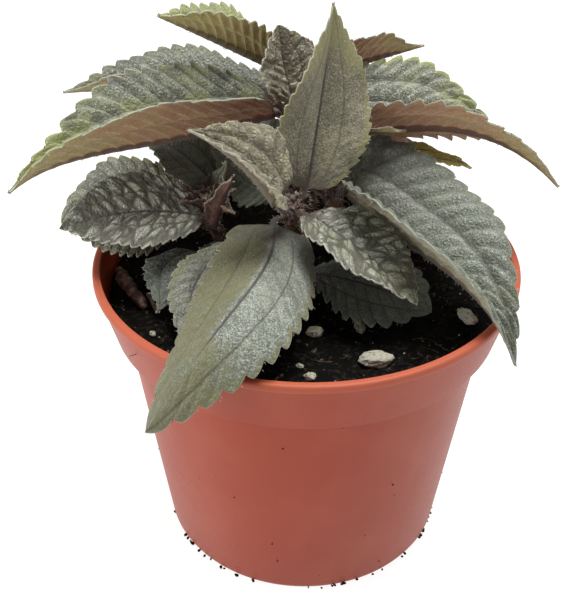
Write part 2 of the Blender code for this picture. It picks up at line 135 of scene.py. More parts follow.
def add_node(tree: bpy.types.NodeTree, kind: str, out: str | int, inputs: dict | None = None,
             **settings: object) -> Socket:
    """Adds a node with its settings, input values and links.

    Args:
        tree: The node tree that the node goes in.
        kind: The node's Blender type.
        out: Name or index of the output to hand back.
        inputs: Input name or index to a value, or to the socket that feeds it.
        settings: Properties of the node itself.

    Returns:
        The output socket.
    """
    node = tree.nodes.new(kind)
    for name, value in settings.items():
        setattr(node, name, value)
    feed(node, inputs or {})
    return node.outputs[out]


def new_material(name: str) -> tuple[bpy.types.Material, bpy.types.NodeTree, bpy.types.Node]:
    """Makes an empty Principled material.

    Args:
        name: The material's name.

    Returns:
        The material, its node tree and its Principled shader.
    """
    made = bpy.data.materials.new(name)
    made.use_nodes = True
    return made, made.node_tree, made.node_tree.nodes["Principled BSDF"]


class SlotName(Enum):
    """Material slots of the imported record."""

    POT = "pot"
    SOIL = "soil"
    LEAF = "leaf"
    STEM = "stem"
    PERLITE = "perlite"
    DRY_STALK = "dry_stalk"


class Skin(Enum):
    """Upper skins that the plant's leaves have, by age; the shaded skin is a darker copy for leaves that
    lie in shadow, a painted shade.
    """

    SILVER = "silver"
    EDGED = "edged"
    OLIVE = "olive"
    DULL = "dull"
    BLISTERED = "blistered"
    BRONZE = "bronze"
    SHADED = "shaded"
    LIME = "lime"
    YOUNG = "young"


class Under(Enum):
    """Undersides that the plant's leaves have."""

    BROWN = "brown"
    OCHRE = "ochre"
    RED = "red"
    PALE = "pale"
    MAROON = "maroon"


@dataclass(frozen=True)
class MouldedPolypropylene:
    """Injection-moulded terracotta-coloured polypropylene.

    The mould leaves it even and half glossy, with a faint grain, and the melt leaves slow clouds of a
    paler tone. The thin rim lets light through and catches the light, and this is painted into its
    colour: the rim's brighter tone is a painted highlight.
    """

    body: str = "#933e29"
    # the rim's tone, brighter than the body: a painted highlight
    rim: str = "#ab5841"
    cloud_tone: str = "#9f4d38"
    roughness: float = 0.4
    ior: float = 1.49
    grain: float = 0.8  # spacing of the mould's fine grain, a little coarse so that it shows
    cloud: float = 22.0  # spacing of the clouds
    highlight_band_low: float = 88.2  # heights between which the wall takes the rim's brighter tone, a painted highlight
    highlight_band_high: float = 89.4
    specular: float = 0.15  # low, because the mould's grain dulls its gloss

    def make(self) -> bpy.types.Material:
        """Builds the material.

        Returns:
            The material.
        """
        made, tree, shader = new_material("moulded_terracotta_polypropylene")
        place = add_node(tree, "ShaderNodeTexCoord", "Object")
        height = add_node(tree, "ShaderNodeSeparateXYZ", "Z", {0: place})
        cloud = add_node(tree, "ShaderNodeTexNoise", 0, {
            "Vector": place, "Scale": per_metre(self.cloud), "Detail": 3.0,
        })
        grain = add_node(tree, "ShaderNodeTexNoise", 0, {
            "Vector": place, "Scale": per_metre(self.grain), "Detail": 2.0,
        })
        in_highlight_band = add_node(tree, "ShaderNodeMapRange", 0, {
            0: height, 1: self.highlight_band_low * MM, 2: self.highlight_band_high * MM,
        }, **EASE)
        clouded = add_node(tree, "ShaderNodeMapRange", 0, {0: cloud, 1: 0.42, 2: 0.75, 4: 0.5}, **EASE)
        tone = add_node(tree, "ShaderNodeMix", 2, {
            0: clouded, 6: linear(self.body), 7: linear(self.cloud_tone),
        }, **BLEND)
        # the rim band takes its brighter tone, a painted highlight
        tone = add_node(tree, "ShaderNodeMix", 2, {0: in_highlight_band, 6: tone, 7: linear(self.rim)}, **BLEND)
        rough = add_node(tree, "ShaderNodeMapRange", 0, {
            0: grain, 3: self.roughness - 0.05, 4: self.roughness + 0.1,
        })
        bump = add_node(tree, "ShaderNodeBump", 0, {
            "Height": grain, "Strength": 0.15, "Distance": 0.1 * MM,
        })
        feed(shader, {
            "Base Color": tone, "Roughness": rough, "Normal": bump, "IOR": self.ior,
            "Specular IOR Level": self.specular,
        })
        return made


@dataclass(frozen=True)
class MoistPeat:
    """Peat: crumbly and matt, nearly black while it is moist, and browner in its drier shreds.

    The loose crumbs and root fibres on top have dried, so they take paler tones.
    """

    dark: str = "#020201"
    brown: str = "#251f19"
    name: str = "moist_peat"
    crumb: float = 1.6  # spacing of the browner crumbs
    grit: float = 0.6  # spacing of the grains
    roughness: float = 0.85
    specular: float = 0.1  # low, because its pores swallow the light

    def make(self) -> bpy.types.Material:
        """Builds the material.

        Returns:
            The material.
        """
        made, tree, shader = new_material(self.name)
        place = add_node(tree, "ShaderNodeTexCoord", "Object")
        crumb = add_node(tree, "ShaderNodeTexNoise", 0, {
            "Vector": place, "Scale": per_metre(self.crumb), "Detail": 6.0,
        })
        grit = add_node(tree, "ShaderNodeTexVoronoi", 0, {
            "Vector": place, "Scale": per_metre(self.grit),
        })
        share = add_node(tree, "ShaderNodeMapRange", 0, {0: crumb, 1: 0.5, 2: 0.72}, **EASE)
        tone = add_node(tree, "ShaderNodeMix", 2, {
            0: share, 6: linear(self.dark), 7: linear(self.brown),
        }, **BLEND)
        bump = add_node(tree, "ShaderNodeBump", 0, {
            "Height": grit, "Strength": 0.6, "Distance": 0.3 * MM,
        })
        feed(shader, {
            "Base Color": tone, "Normal": bump, "Roughness": self.roughness,
            "Specular IOR Level": self.specular,
        })
        return made


@dataclass(frozen=True)
class ExpandedPerlite:
    """Expanded perlite: chalky off-white glass foam, pitted, with algae stains, and darker in its pits."""

    pale: str = "#a29f90"
    stained: str = "#817f57"
    pit: str = "#4b473a"
    stain_size: float = 2.6
    pit_size: float = 0.7
    roughness: float = 0.9

    def make(self) -> bpy.types.Material:
        """Builds the material.

        Returns:
            The material.
        """
        made, tree, shader = new_material("expanded_perlite")
        place = add_node(tree, "ShaderNodeTexCoord", "Object")
        stain = add_node(tree, "ShaderNodeTexNoise", 0, {
            "Vector": place, "Scale": per_metre(self.stain_size), "Detail": 3.0,
        })
        pit = add_node(tree, "ShaderNodeTexNoise", 0, {
            "Vector": place, "Scale": per_metre(self.pit_size), "Detail": 5.0,
        })
        stained = add_node(tree, "ShaderNodeMapRange", 0, {0: stain, 1: 0.5, 2: 0.68, 4: 0.8}, **EASE)
        tone = add_node(tree, "ShaderNodeMix", 2, {
            0: stained, 6: linear(self.pale), 7: linear(self.stained),
        }, **BLEND)
        # Darker in its pits.
        pitted = add_node(tree, "ShaderNodeMapRange", 0, {0: pit, 1: 0.56, 2: 0.68}, **EASE)
        tone = add_node(tree, "ShaderNodeMix", 2, {0: pitted, 6: tone, 7: linear(self.pit)}, **BLEND)
        bump = add_node(tree, "ShaderNodeBump", 0, {
            "Height": pit, "Strength": 0.8, "Distance": -0.4 * MM,
        })
        feed(shader, {"Base Color": tone, "Normal": bump, "Roughness": self.roughness})
        return made


@dataclass(frozen=True)
class PlantFibre:
    """Stem skin, dry stalk, root fibre or hair: a mottled matt fibre with a rough grain."""

    name: str
    main: str
    patch: str
    mottle: float = 2.0  # spacing of its patches
    roughness: float = 0.7

    def make(self) -> bpy.types.Material:
        """Builds the material.

        Returns:
            The material.
        """
        made, tree, shader = new_material(self.name)
        place = add_node(tree, "ShaderNodeTexCoord", "Object")
        mottle = add_node(tree, "ShaderNodeTexNoise", 0, {
            "Vector": place, "Scale": per_metre(self.mottle), "Detail": 5.0,
        })
        share = add_node(tree, "ShaderNodeMapRange", 0, {0: mottle, 1: 0.42, 2: 0.68}, **EASE)
        tone = add_node(tree, "ShaderNodeMix", 2, {
            0: share, 6: linear(self.main), 7: linear(self.patch),
        }, **BLEND)
        bump = add_node(tree, "ShaderNodeBump", 0, {
            "Height": mottle, "Strength": 0.5, "Distance": 0.3 * MM,
        })
        feed(shader, {"Base Color": tone, "Normal": bump, "Roughness": self.roughness})
        return made


@dataclass(frozen=True)
class LeafSkin:
    """Upper skin of a leaf.

    A green blade lies under silvery, air-filled cells, which give it a fine stipple. Its sunken veins
    are bare and dark, its margin and tip are greener, and its base takes a darker tone: a maroon flush,
    which on the silver skin is a dark grey painted shade.
    """

    name: str
    green: str = "#4b4d40"
    silver: str = "#a5a79b"
    vein: str = "#332d28"
    edge: str = "#6a6c44"
    # tone of the blade's base: a maroon flush, and on the silver skin a dark grey painted shade
    base: str = "#38201b"
    cover: float = 0.75  # share of the blade that its silver cells cover
    rib_dark: float = 0.45  # share of the vein's tone on the side veins
    mesh_dark: float = 0.3  # the same on the blisters' edges, and a little less on the finest net
    net_size: float = 1.3  # spacing of the finest net of veins
    net_relief: float = 0.2  # how far that net is sunk
    speckle: float = 0.38  # spacing of the silver cells, drawn a little coarse so that they show
    mottle: float = 1.6  # spacing of fuller and thinner spots of silver
    patch: float = 7.0  # spacing of slow changes of tone
    roughness: float = 0.55
    sheen: float = 0.1

    def make(self) -> bpy.types.Material:
        """Builds the material.

        Returns:
            The material.
        """
        made, tree, shader = new_material(self.name)
        place = add_node(tree, "ShaderNodeTexCoord", "Object")
        mark = {
            key: add_node(tree, "ShaderNodeAttribute", "Fac", attribute_name=key) for key in SKIN_MARKS
        }
        cells = add_node(tree, "ShaderNodeTexNoise", 0, {
            "Vector": place, "Scale": per_metre(self.speckle), "Detail": 3.0, "Roughness": 0.75,
        })
        mottle = add_node(tree, "ShaderNodeTexNoise", 0, {
            "Vector": place, "Scale": per_metre(self.mottle), "Detail": 2.0,
        })
        patches = add_node(tree, "ShaderNodeTexNoise", 0, {
            "Vector": place, "Scale": per_metre(self.patch), "Detail": 2.0,
        })
        net = add_node(tree, "ShaderNodeTexVoronoi", "Distance", {
            "Vector": place, "Scale": per_metre(self.net_size),
        }, feature="DISTANCE_TO_EDGE")
        veins = self.veins(tree, mark, net)
        green = add_node(tree, "ShaderNodeMath", 0, {0: patches, 1: 0.5}, operation="SUBTRACT")
        green = add_node(tree, "ShaderNodeMath", 0, {
            0: green, 1: 1.4, 2: mark["green"],
        }, operation="MULTIPLY_ADD")
        green = add_node(tree, "ShaderNodeMapRange", 0, {0: green, 1: 0.1, 2: 0.9}, **EASE)
        amount = add_node(tree, "ShaderNodeMath", 0, {
            0: mottle, 1: 0.2, 2: cells,
        }, operation="MULTIPLY_ADD")
        amount = add_node(tree, "ShaderNodeMath", 0, {
            0: patches, 1: 0.25, 2: amount,
        }, operation="MULTIPLY_ADD")
        low = 0.78 - self.cover * 0.2
        silver = add_node(tree, "ShaderNodeMapRange", 0, {0: amount, 1: low, 2: low + 0.28}, **EASE)
        # Fewer silver cells on the pillows' flanks, down into the grooves between them: a painted shade in
        # the quilting's creases.
        crown = add_node(tree, "ShaderNodeMapRange", 0, {
            0: mark["swell"], 1: 0.05, 2: 0.8, 3: 0.3,
        }, **EASE)
        in_green = add_node(tree, "ShaderNodeMapRange", 0, {0: green, 3: 1.0, 4: 0.26})
        in_vein = add_node(tree, "ShaderNodeMapRange", 0, {0: veins, 3: 1.0, 4: 0.2})
        for share in (crown, in_green, in_vein):
            silver = add_node(tree, "ShaderNodeMath", 0, {0: silver, 1: share}, operation="MULTIPLY")
        # A pale strip along the margin: a painted highlight on the leaf's edge.
        rim = add_node(tree, "ShaderNodeMapRange", 0, {
            0: mark["from_margin"], 1: 0.0, 2: 0.4, 3: 0.6, 4: 0.0,
        }, **EASE)
        # The base's tone over the flush_and_shade share: a maroon flush, and on the silver skin a painted
        # shade.
        flush_and_shade = add_node(tree, "ShaderNodeMath", 0, {0: mottle, 1: 0.5}, operation="SUBTRACT")
        flush_and_shade = add_node(tree, "ShaderNodeMath", 0, {
            0: flush_and_shade, 1: 1.2, 2: mark["flush_and_shade"],
        }, operation="MULTIPLY_ADD")
        flush_and_shade = add_node(tree, "ShaderNodeMapRange", 0, {0: flush_and_shade, 1: 0.2, 2: 1.0, 4: 0.85}, **EASE)
        blade = add_node(tree, "ShaderNodeMix", 2, {
            0: green, 6: linear(self.green), 7: linear(self.edge),
        }, **BLEND)
        layers = (silver, self.silver), (veins, self.vein), (rim, self.silver), (flush_and_shade, self.base)
        for share, code in layers:
            blade = add_node(tree, "ShaderNodeMix", 2, {0: share, 6: blade, 7: linear(code)}, **BLEND)
        raised = add_node(tree, "ShaderNodeMapRange", 0, {0: net, 1: 0.0, 2: 0.35}, **EASE)
        raised = add_node(tree, "ShaderNodeMath", 0, {
            0: cells, 1: 0.6, 2: raised,
        }, operation="MULTIPLY_ADD")
        bump = add_node(tree, "ShaderNodeBump", 0, {
            "Height": raised, "Strength": 0.9, "Distance": self.net_relief * MM,
        })
        rough = add_node(tree, "ShaderNodeMapRange", 0, {
            0: cells, 1: 0.3, 2: 0.7, 3: self.roughness + 0.1, 4: self.roughness - 0.08,
        })
        feed(shader, {
            "Base Color": blade, "Roughness": rough, "Normal": bump, "Sheen Weight": self.sheen,
        })
        return made

    def veins(self, tree: bpy.types.NodeTree, mark: dict[str, Socket], net: Socket) -> Socket:
        """Joins the dark lines of the midrib, the laterals, the side veins and the net between them.

        Args:
            tree: The material's nodes.
            mark: The leaf's attributes by name.
            net: Distance from the cells' edges in the fine net.

        Returns:
            How much of a vein is at each point, from 0 to 1.
        """
        midrib = add_node(tree, "ShaderNodeMapRange", 0, {
            0: mark["from_midrib"], 1: 0.15, 2: 0.65, 3: 0.9, 4: 0.0,
        }, **EASE)
        lateral = add_node(tree, "ShaderNodeMath", 0, {0: mark["from_lateral"]}, operation="ABSOLUTE")
        lateral = add_node(tree, "ShaderNodeMapRange", 0, {
            0: lateral, 1: 0.05, 2: 0.45, 3: min(self.rib_dark + 0.35, 0.8), 4: 0.0,
        }, **EASE)
        rib = add_node(tree, "ShaderNodeMath", 0, {0: mark["rib"], 1: 0.5}, operation="PINGPONG")
        rib = add_node(tree, "ShaderNodeMapRange", 0, {
            0: rib, 1: 0.0, 2: 0.13, 3: self.rib_dark, 4: 0.0,
        }, **EASE)
        cell = add_node(tree, "ShaderNodeMapRange", 0, {
            0: mark["cell"], 1: 0.0, 2: 0.3, 3: self.mesh_dark, 4: 0.0,
        }, **EASE)
        fine = add_node(tree, "ShaderNodeMapRange", 0, {
            0: net, 1: 0.0, 2: 0.11, 3: self.mesh_dark * 0.6, 4: 0.0,
        }, **EASE)
        veins = midrib
        for line in (lateral, rib, cell, fine):
            veins = add_node(tree, "ShaderNodeMath", 0, {0: veins, 1: line}, operation="MAXIMUM")
        return veins


@dataclass(frozen=True)
class LeafUnderside:
    """Underside of a leaf: matt, red-brown at its base and olive at its tip, with paler raised veins."""

    name: str
    base: str = "#6e4537"
    middle: str = "#7b5c40"
    tip: str = "#756d45"
    vein: str = "#a08c6c"
    keel: str = "#452a25"
    grain: float = 0.5  # spacing of its fine down
    cloud: float = 7.0  # spacing of slow changes of tone
    net_size: float = 1.7  # spacing of the finest net of veins
    roughness: float = 0.75
    sheen: float = 0.12  # from its down

    def make(self) -> bpy.types.Material:
        """Builds the material.

        Returns:
            The material.
        """
        made, tree, shader = new_material(self.name)
        place = add_node(tree, "ShaderNodeTexCoord", "Object")
        mark = {
            key: add_node(tree, "ShaderNodeAttribute", "Fac", attribute_name=key) for key in UNDER_MARKS
        }
        grain = add_node(tree, "ShaderNodeTexNoise", 0, {
            "Vector": place, "Scale": per_metre(self.grain), "Detail": 3.0,
        })
        cloud = add_node(tree, "ShaderNodeTexNoise", 0, {
            "Vector": place, "Scale": per_metre(self.cloud), "Detail": 2.0,
        })
        net = add_node(tree, "ShaderNodeTexVoronoi", "Distance", {
            "Vector": place, "Scale": per_metre(self.net_size),
        }, feature="DISTANCE_TO_EDGE")
        along = add_node(tree, "ShaderNodeMath", 0, {0: cloud, 1: 0.5}, operation="SUBTRACT")
        along = add_node(tree, "ShaderNodeMath", 0, {
            0: along, 1: 0.7, 2: mark["along"],
        }, operation="MULTIPLY_ADD")
        middle = add_node(tree, "ShaderNodeMapRange", 0, {0: along, 1: 0.1, 2: 0.5}, **EASE)
        tip = add_node(tree, "ShaderNodeMapRange", 0, {0: along, 1: 0.45, 2: 0.85}, **EASE)
        lateral = add_node(tree, "ShaderNodeMath", 0, {0: mark["from_lateral"]}, operation="ABSOLUTE")
        lateral = add_node(tree, "ShaderNodeMapRange", 0, {
            0: lateral, 1: 0.1, 2: 0.5, 3: 0.5, 4: 0.0,
        }, **EASE)
        rib = add_node(tree, "ShaderNodeMath", 0, {0: mark["rib"], 1: 0.5}, operation="PINGPONG")
        rib = add_node(tree, "ShaderNodeMapRange", 0, {0: rib, 1: 0.0, 2: 0.09, 3: 0.7, 4: 0.0}, **EASE)
        fine = add_node(tree, "ShaderNodeMapRange", 0, {
            0: net, 1: 0.0, 2: 0.12, 3: 0.3, 4: 0.0,
        }, **EASE)
        veins = lateral
        for line in (rib, fine):
            veins = add_node(tree, "ShaderNodeMath", 0, {0: veins, 1: line}, operation="MAXIMUM")
        grainy = add_node(tree, "ShaderNodeMapRange", 0, {0: grain, 1: 0.38, 2: 0.7, 4: 0.4}, **EASE)
        keel = add_node(tree, "ShaderNodeMapRange", 0, {
            0: mark["from_midrib"], 1: 0.6, 2: 1.1, 3: 0.85, 4: 0.0,
        }, **EASE)
        # A pale strip along the margin: a painted highlight on the leaf's edge.
        rim = add_node(tree, "ShaderNodeMapRange", 0, {
            0: mark["from_margin"], 1: 0.0, 2: 0.4, 3: 0.6, 4: 0.0,
        }, **EASE)
        tone = linear(self.base)
        layers = (
            (middle, self.middle), (tip, self.tip), (veins, self.vein), (grainy, self.vein),
            (keel, self.keel), (rim, self.vein), (mark["petiole"], self.keel),
        )
        for share, code in layers:
            tone = add_node(tree, "ShaderNodeMix", 2, {0: share, 6: tone, 7: linear(code)}, **BLEND)
        raised = add_node(tree, "ShaderNodeMath", 0, {
            0: veins, 1: 1.5, 2: grain,
        }, operation="MULTIPLY_ADD")
        bump = add_node(tree, "ShaderNodeBump", 0, {
            "Height": raised, "Strength": 0.6, "Distance": 0.15 * MM,
        })
        feed(shader, {
            "Base Color": tone, "Normal": bump, "Roughness": self.roughness, "Sheen Weight": self.sheen,
        })
        return made


SKINS = {
    # The silver skin's dark grey base is a painted shade, for the shadow that the leaves above cast.
    Skin.SILVER: LeafSkin(
        "leaf_skin_silver", green="#54584a", silver="#a1a79d", edge="#5b5932", base="#3a362d",
        cover=0.8, rib_dark=0.16, mesh_dark=0.12, net_relief=0.12,
    ),
    Skin.EDGED: LeafSkin(
        "leaf_skin_silver_green_edged", silver="#b0b2a2", edge="#858a50", cover=0.75,
        rib_dark=0.4, mesh_dark=0.15, net_relief=0.14,
    ),
    Skin.OLIVE: LeafSkin(
        "leaf_skin_olive", green="#615d49", silver="#a7a28e", edge="#7b784a", base="#40362c",
        cover=0.72, rib_dark=0.05, mesh_dark=0.08, net_relief=0.08,
    ),
    Skin.DULL: LeafSkin("leaf_skin_dull_grey", green="#54574a", silver="#a7a99d"),
    Skin.BLISTERED: LeafSkin(
        "leaf_skin_blistered", green="#838576", silver="#c5c7b8", vein="#37312a", cover=0.9,
        rib_dark=0.6, mesh_dark=0.75,
    ),
    Skin.BRONZE: LeafSkin(
        "leaf_skin_bronze", green="#676350", silver="#b3b09d", vein="#453630", edge="#8a8664",
        cover=0.8, rib_dark=0.5, mesh_dark=0.45,
    ),
    # A darker skin for leaves that lie in shadow: a painted shade.
    Skin.SHADED: LeafSkin(
        "leaf_skin_shaded", green="#3b423a", silver="#777d74", edge="#56614a", cover=0.7,
        rib_dark=0.5,
    ),
    Skin.LIME: LeafSkin(
        "leaf_skin_lime", green="#beb856", silver="#d0cb84", edge="#c8c062", cover=0.35,
    ),
    Skin.YOUNG: LeafSkin(
        "leaf_skin_young", green="#5d483a", silver="#8c7f72", base="#43231f", vein="#3d2723",
        cover=0.6, mesh_dark=0.5,
    ),
}

UNDERS = {
    Under.BROWN: LeafUnderside(
        "leaf_underside_brown", base="#915c4a", middle="#a57c55", tip="#9b905b", vein="#bda788",
        keel="#53332c",
    ),
    Under.OCHRE: LeafUnderside(
        "leaf_underside_ochre", base="#7d673a", middle="#94814a", tip="#a1955a", vein="#b8a981",
        keel="#514528",
    ),
    Under.RED: LeafUnderside(
        "leaf_underside_red", base="#a06656", middle="#aa7f60", tip="#9f925a", vein="#c6ab8c",
        keel="#553630",
    ),
    Under.PALE: LeafUnderside(
        "leaf_underside_pale", base="#857a62", middle="#938c71", tip="#9a957a", vein="#b6b29b",
        keel="#5d4f40",
    ),
    Under.MAROON: LeafUnderside(
        "leaf_underside_maroon", base="#4c2a25", middle="#56352c", tip="#654b3b", vein="#957564",
        keel="#3f2020",
    ),
}


@dataclass
class Finishes:
    """Every material, made once and handed to the pieces that share it."""

    plastic: bpy.types.Material = field(init=False)
    peat: bpy.types.Material = field(init=False)
    crumb: bpy.types.Material = field(init=False)
    fibre: bpy.types.Material = field(init=False)
    perlite: bpy.types.Material = field(init=False)
    stalk: bpy.types.Material = field(init=False)
    twig: bpy.types.Material = field(init=False)
    stem: bpy.types.Material = field(init=False)
    hair: bpy.types.Material = field(init=False)
    skins: dict[Skin, bpy.types.Material] = field(init=False)
    unders: dict[Under, bpy.types.Material] = field(init=False)

    def __post_init__(self) -> None:
        """Builds the materials."""
        self.plastic = MouldedPolypropylene().make()
        self.peat = MoistPeat().make()
        self.crumb = MoistPeat(name="peat_crumb", dark="#16120f", brown="#6a5b4b").make()
        self.fibre = MoistPeat(name="peat_fibre", dark="#2e261f", brown="#776852").make()
        self.perlite = ExpandedPerlite().make()
        self.stalk = PlantFibre("dry_stalk_bark", "#3c2422", "#7d6253").make()
        self.twig = PlantFibre("dry_twig", "#8a7a6a", "#5a4034", mottle=1.2).make()
        self.stem = PlantFibre("stem_skin", "#4a2822", "#6d5a42").make()
        self.hair = PlantFibre("leaf_hair", "#b9b0a2", "#9a7c6c", mottle=6.0, roughness=0.5).make()
        self.skins = {skin: finish.make() for skin, finish in SKINS.items()}
        self.unders = {under: finish.make() for under, finish in UNDERS.items()}


def finish_piece(bm: bmesh.types.BMesh, name: str, materials: list[bpy.types.Material],
                 replaces: str | None = None, tidy_normals: bool = True) -> bpy.types.Object:
    """Turns a bmesh in millimetres to a finished piece in metres that rides on the plant.

    Args:
        bm: The shape, which is freed.
        name: The piece's name.
        materials: Its materials, in the order of its faces' material numbers.
        replaces: The CAD node that it stands for.
        tidy_normals: Whether its faces are turned to point outwards.

    Returns:
        The piece's object.
    """
    if tidy_normals:
        bmesh.ops.recalc_face_normals(bm, faces=bm.faces)
    bmesh.ops.scale(bm, vec=(MM, MM, MM), verts=bm.verts)
    mesh = bpy.data.meshes.new(name)
    bm.to_mesh(mesh)
    bm.free()
    mesh.shade_smooth()
    for finish in materials:
        mesh.materials.append(finish)
    made = bpy.data.objects.new(name, mesh)
    bpy.context.scene.collection.objects.link(made)
    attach(made, "root")
    if replaces:
        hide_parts(replaces)
    mesh.calc_loop_triangles()
    LOG.info("%s: %d triangles", name, len(mesh.loop_triangles))
    return made


@dataclass
class Pot:
    """The thin-walled nursery pot: rolled rim, band, tapered body and drained floor."""

    rim_radius: float = 60.0
    height: float = 91.0
    rim_inner_radius: float = 57.8
    lip_height: float = 2.4
    band_top_radius: float = 59.2
    band_foot_radius: float = 55.2
    band_height: float = 17.6
    body_top_radius: float = 51.8
    foot_radius: float = 42.0
    foot_round: float = 2.5
    wall: float = 1.2
    floor: float = 1.8
    sides: int = 192
    drain_holes: int = 8
    drain_radius: float = 4.0
    drain_circle: float = 28.0
    edge_round: float = 0.35
    sharp_turn: float = 25.0  # a corner sharper than this is rounded
    floor_step: float = 0.6  # how far the floor's fillet stands in from the wall
    foot_specks: int = 70
    foot_speck_heights: tuple[float, float] = (0.7, 1.6)
    foot_speck_sizes: tuple[float, float] = (0.7, 1.8)
    wall_specks: int = 36
    wall_speck_foot: float = 3.0
    wall_speck_sizes: tuple[float, float] = (0.3, 0.8)
    speck_seed: int = 5

    def wall_radius(self, height: float) -> float:
        """The body's outer radius at a height below the band."""
        share = height / (self.height - self.band_height)
        return self.foot_radius + (self.body_top_radius - self.foot_radius) * share

    def inner_radius(self, height: float) -> float:
        """The pot's inner radius at a height in its band.

        Args:
            height: Height above the foot.

        Returns:
            The radius.
        """
        low = self.height - self.band_height + self.wall
        high = self.height - self.lip_height
        share = (height - low) / (high - low)
        low_radius = self.band_foot_radius - self.wall
        return low_radius + (self.rim_inner_radius - low_radius) * share

    def floor_radius(self) -> float:
        """The pot's inner radius at its floor."""
        return self.wall_radius(self.floor) - self.wall - self.floor_step

    def profile(self) -> list[tuple[float, float]]:
        """The turned outline, from the middle of the foot up, over the rim and down inside.

        Returns:
            Points as radius and height.
        """
        band_foot = self.height - self.band_height
        return [
            (0, 0),
            (self.foot_radius - self.foot_round, 0),
            (self.foot_radius - self.foot_round * 0.25, self.foot_round * 0.3),
            (self.wall_radius(self.foot_round), self.foot_round),
            (self.body_top_radius, band_foot),
            (self.band_foot_radius, band_foot + 0.4),
            (self.band_top_radius, self.height - self.lip_height),
            (self.rim_radius, self.height - self.lip_height + 0.3),
            (self.rim_radius, self.height - 0.5),
            (self.rim_radius - 0.5, self.height),
            (self.rim_inner_radius, self.height),
            (self.rim_inner_radius, self.height - self.lip_height),
            (self.band_foot_radius - self.wall, band_foot + self.wall),
            (self.body_top_radius - self.wall, band_foot - 0.4),
            (self.floor_radius(), self.floor),
            (0, self.floor),
        ]

    def build(self, finishes: Finishes) -> bpy.types.Object:
        """Turns the pot, rounds its corners and opens its drain holes.

        Args:
            finishes: The shared materials.

        Returns:
            The pot's object.
        """
        bm = spun(self.profile(), self.sides)
        rings = [
            edge for edge in bm.edges
            if abs(edge.verts[0].co.z - edge.verts[1].co.z) < 1e-4
            and edge.verts[0].co.xy.length > 1.0
            and abs(edge.verts[0].co.xy.length - edge.verts[1].co.xy.length) < 1e-3
            and edge.calc_face_angle(0) > math.radians(self.sharp_turn)
        ]
        bmesh.ops.bevel(bm, geom=rings, offset=self.edge_round, offset_type="OFFSET", segments=3,
                        profile=0.5, affect="EDGES", material=-1, clamp_overlap=True)
        pot = finish_piece(bm, "nursery_pot", [finishes.plastic], "pot")
        self.drain(pot)
        self.add_specks(finishes)
        return pot

    def add_specks(self, finishes: Finishes) -> None:
        """Sticks specks of peat to the foot's edge and the wall, by a seeded draw.

        Args:
            finishes: The shared materials.
        """
        draw = random.Random(self.speck_seed)
        specks = bmesh.new()
        for number in range(self.foot_specks + self.wall_specks):
            height = draw.uniform(*self.foot_speck_heights)
            size = draw.uniform(*self.foot_speck_sizes)
            if number >= self.foot_specks:
                height = draw.uniform(self.wall_speck_foot, self.height - self.band_height)
                size = draw.uniform(*self.wall_speck_sizes)
            angle = draw.uniform(0, math.tau)
            radius = self.wall_radius(height)
            place = Vector((radius * math.cos(angle), radius * math.sin(angle), height))
            add_lump(specks, place, (size, size * 0.7, min(size, 1.2) * 0.8), draw)
        finish_piece(specks, "peat_specks_on_pot", [finishes.crumb])

    def drain(self, pot: bpy.types.Object) -> None:
        """Cuts the drain holes through the pot's floor.

        Args:
            pot: The pot's object, in metres.
        """
        holes = bmesh.new()
        for step in range(self.drain_holes):
            radius = self.drain_radius * MM
            ring = bmesh.ops.create_cone(holes, cap_ends=True, segments=32, radius1=radius, radius2=radius,
                                         depth=4 * self.floor * MM)
            angle = math.tau * (step + 0.5) / self.drain_holes
            place = Vector((math.cos(angle), math.sin(angle), 0)) * self.drain_circle * MM
            bmesh.ops.translate(holes, verts=ring["verts"], vec=place)
        mesh = bpy.data.meshes.new("drain_cutter")
        holes.to_mesh(mesh)
        holes.free()
        cutter = bpy.data.objects.new("drain_cutter", mesh)
        bpy.context.scene.collection.objects.link(cutter)
        cut = pot.modifiers.new("drain", "BOOLEAN")
        cut.operation = "DIFFERENCE"
        cut.object = cutter
        graph = bpy.context.evaluated_depsgraph_get()
        drained = bpy.data.meshes.new_from_object(pot.evaluated_get(graph))
        pot.modifiers.remove(cut)
        bpy.data.objects.remove(cutter)
        pot.data = drained
        drained.shade_smooth()
        drained.set_sharp_from_angle(angle=math.radians(50))


def spun(profile: list[tuple[float, float]], sides: int) -> bmesh.types.BMesh:
    """A closed solid turned from a closed profile.

    Args:
        profile: Points as radius and height in millimetres.
        sides: Sides round the axis.

    Returns:
        The solid as a bmesh.
    """
    bm = bmesh.new()
    points = [bm.verts.new((radius, 0, height)) for radius, height in profile]
    edges = [bm.edges.new(pair) for pair in zip(points, points[1:] + points[:1])]
    bmesh.ops.spin(bm, geom=points + edges, axis=(0, 0, 1), cent=(0, 0, 0), angle=math.tau, steps=sides,
                   use_merge=True)
    bmesh.ops.remove_doubles(bm, verts=bm.verts, dist=0.001)
    bmesh.ops.recalc_face_normals(bm, faces=bm.faces)
    return bm


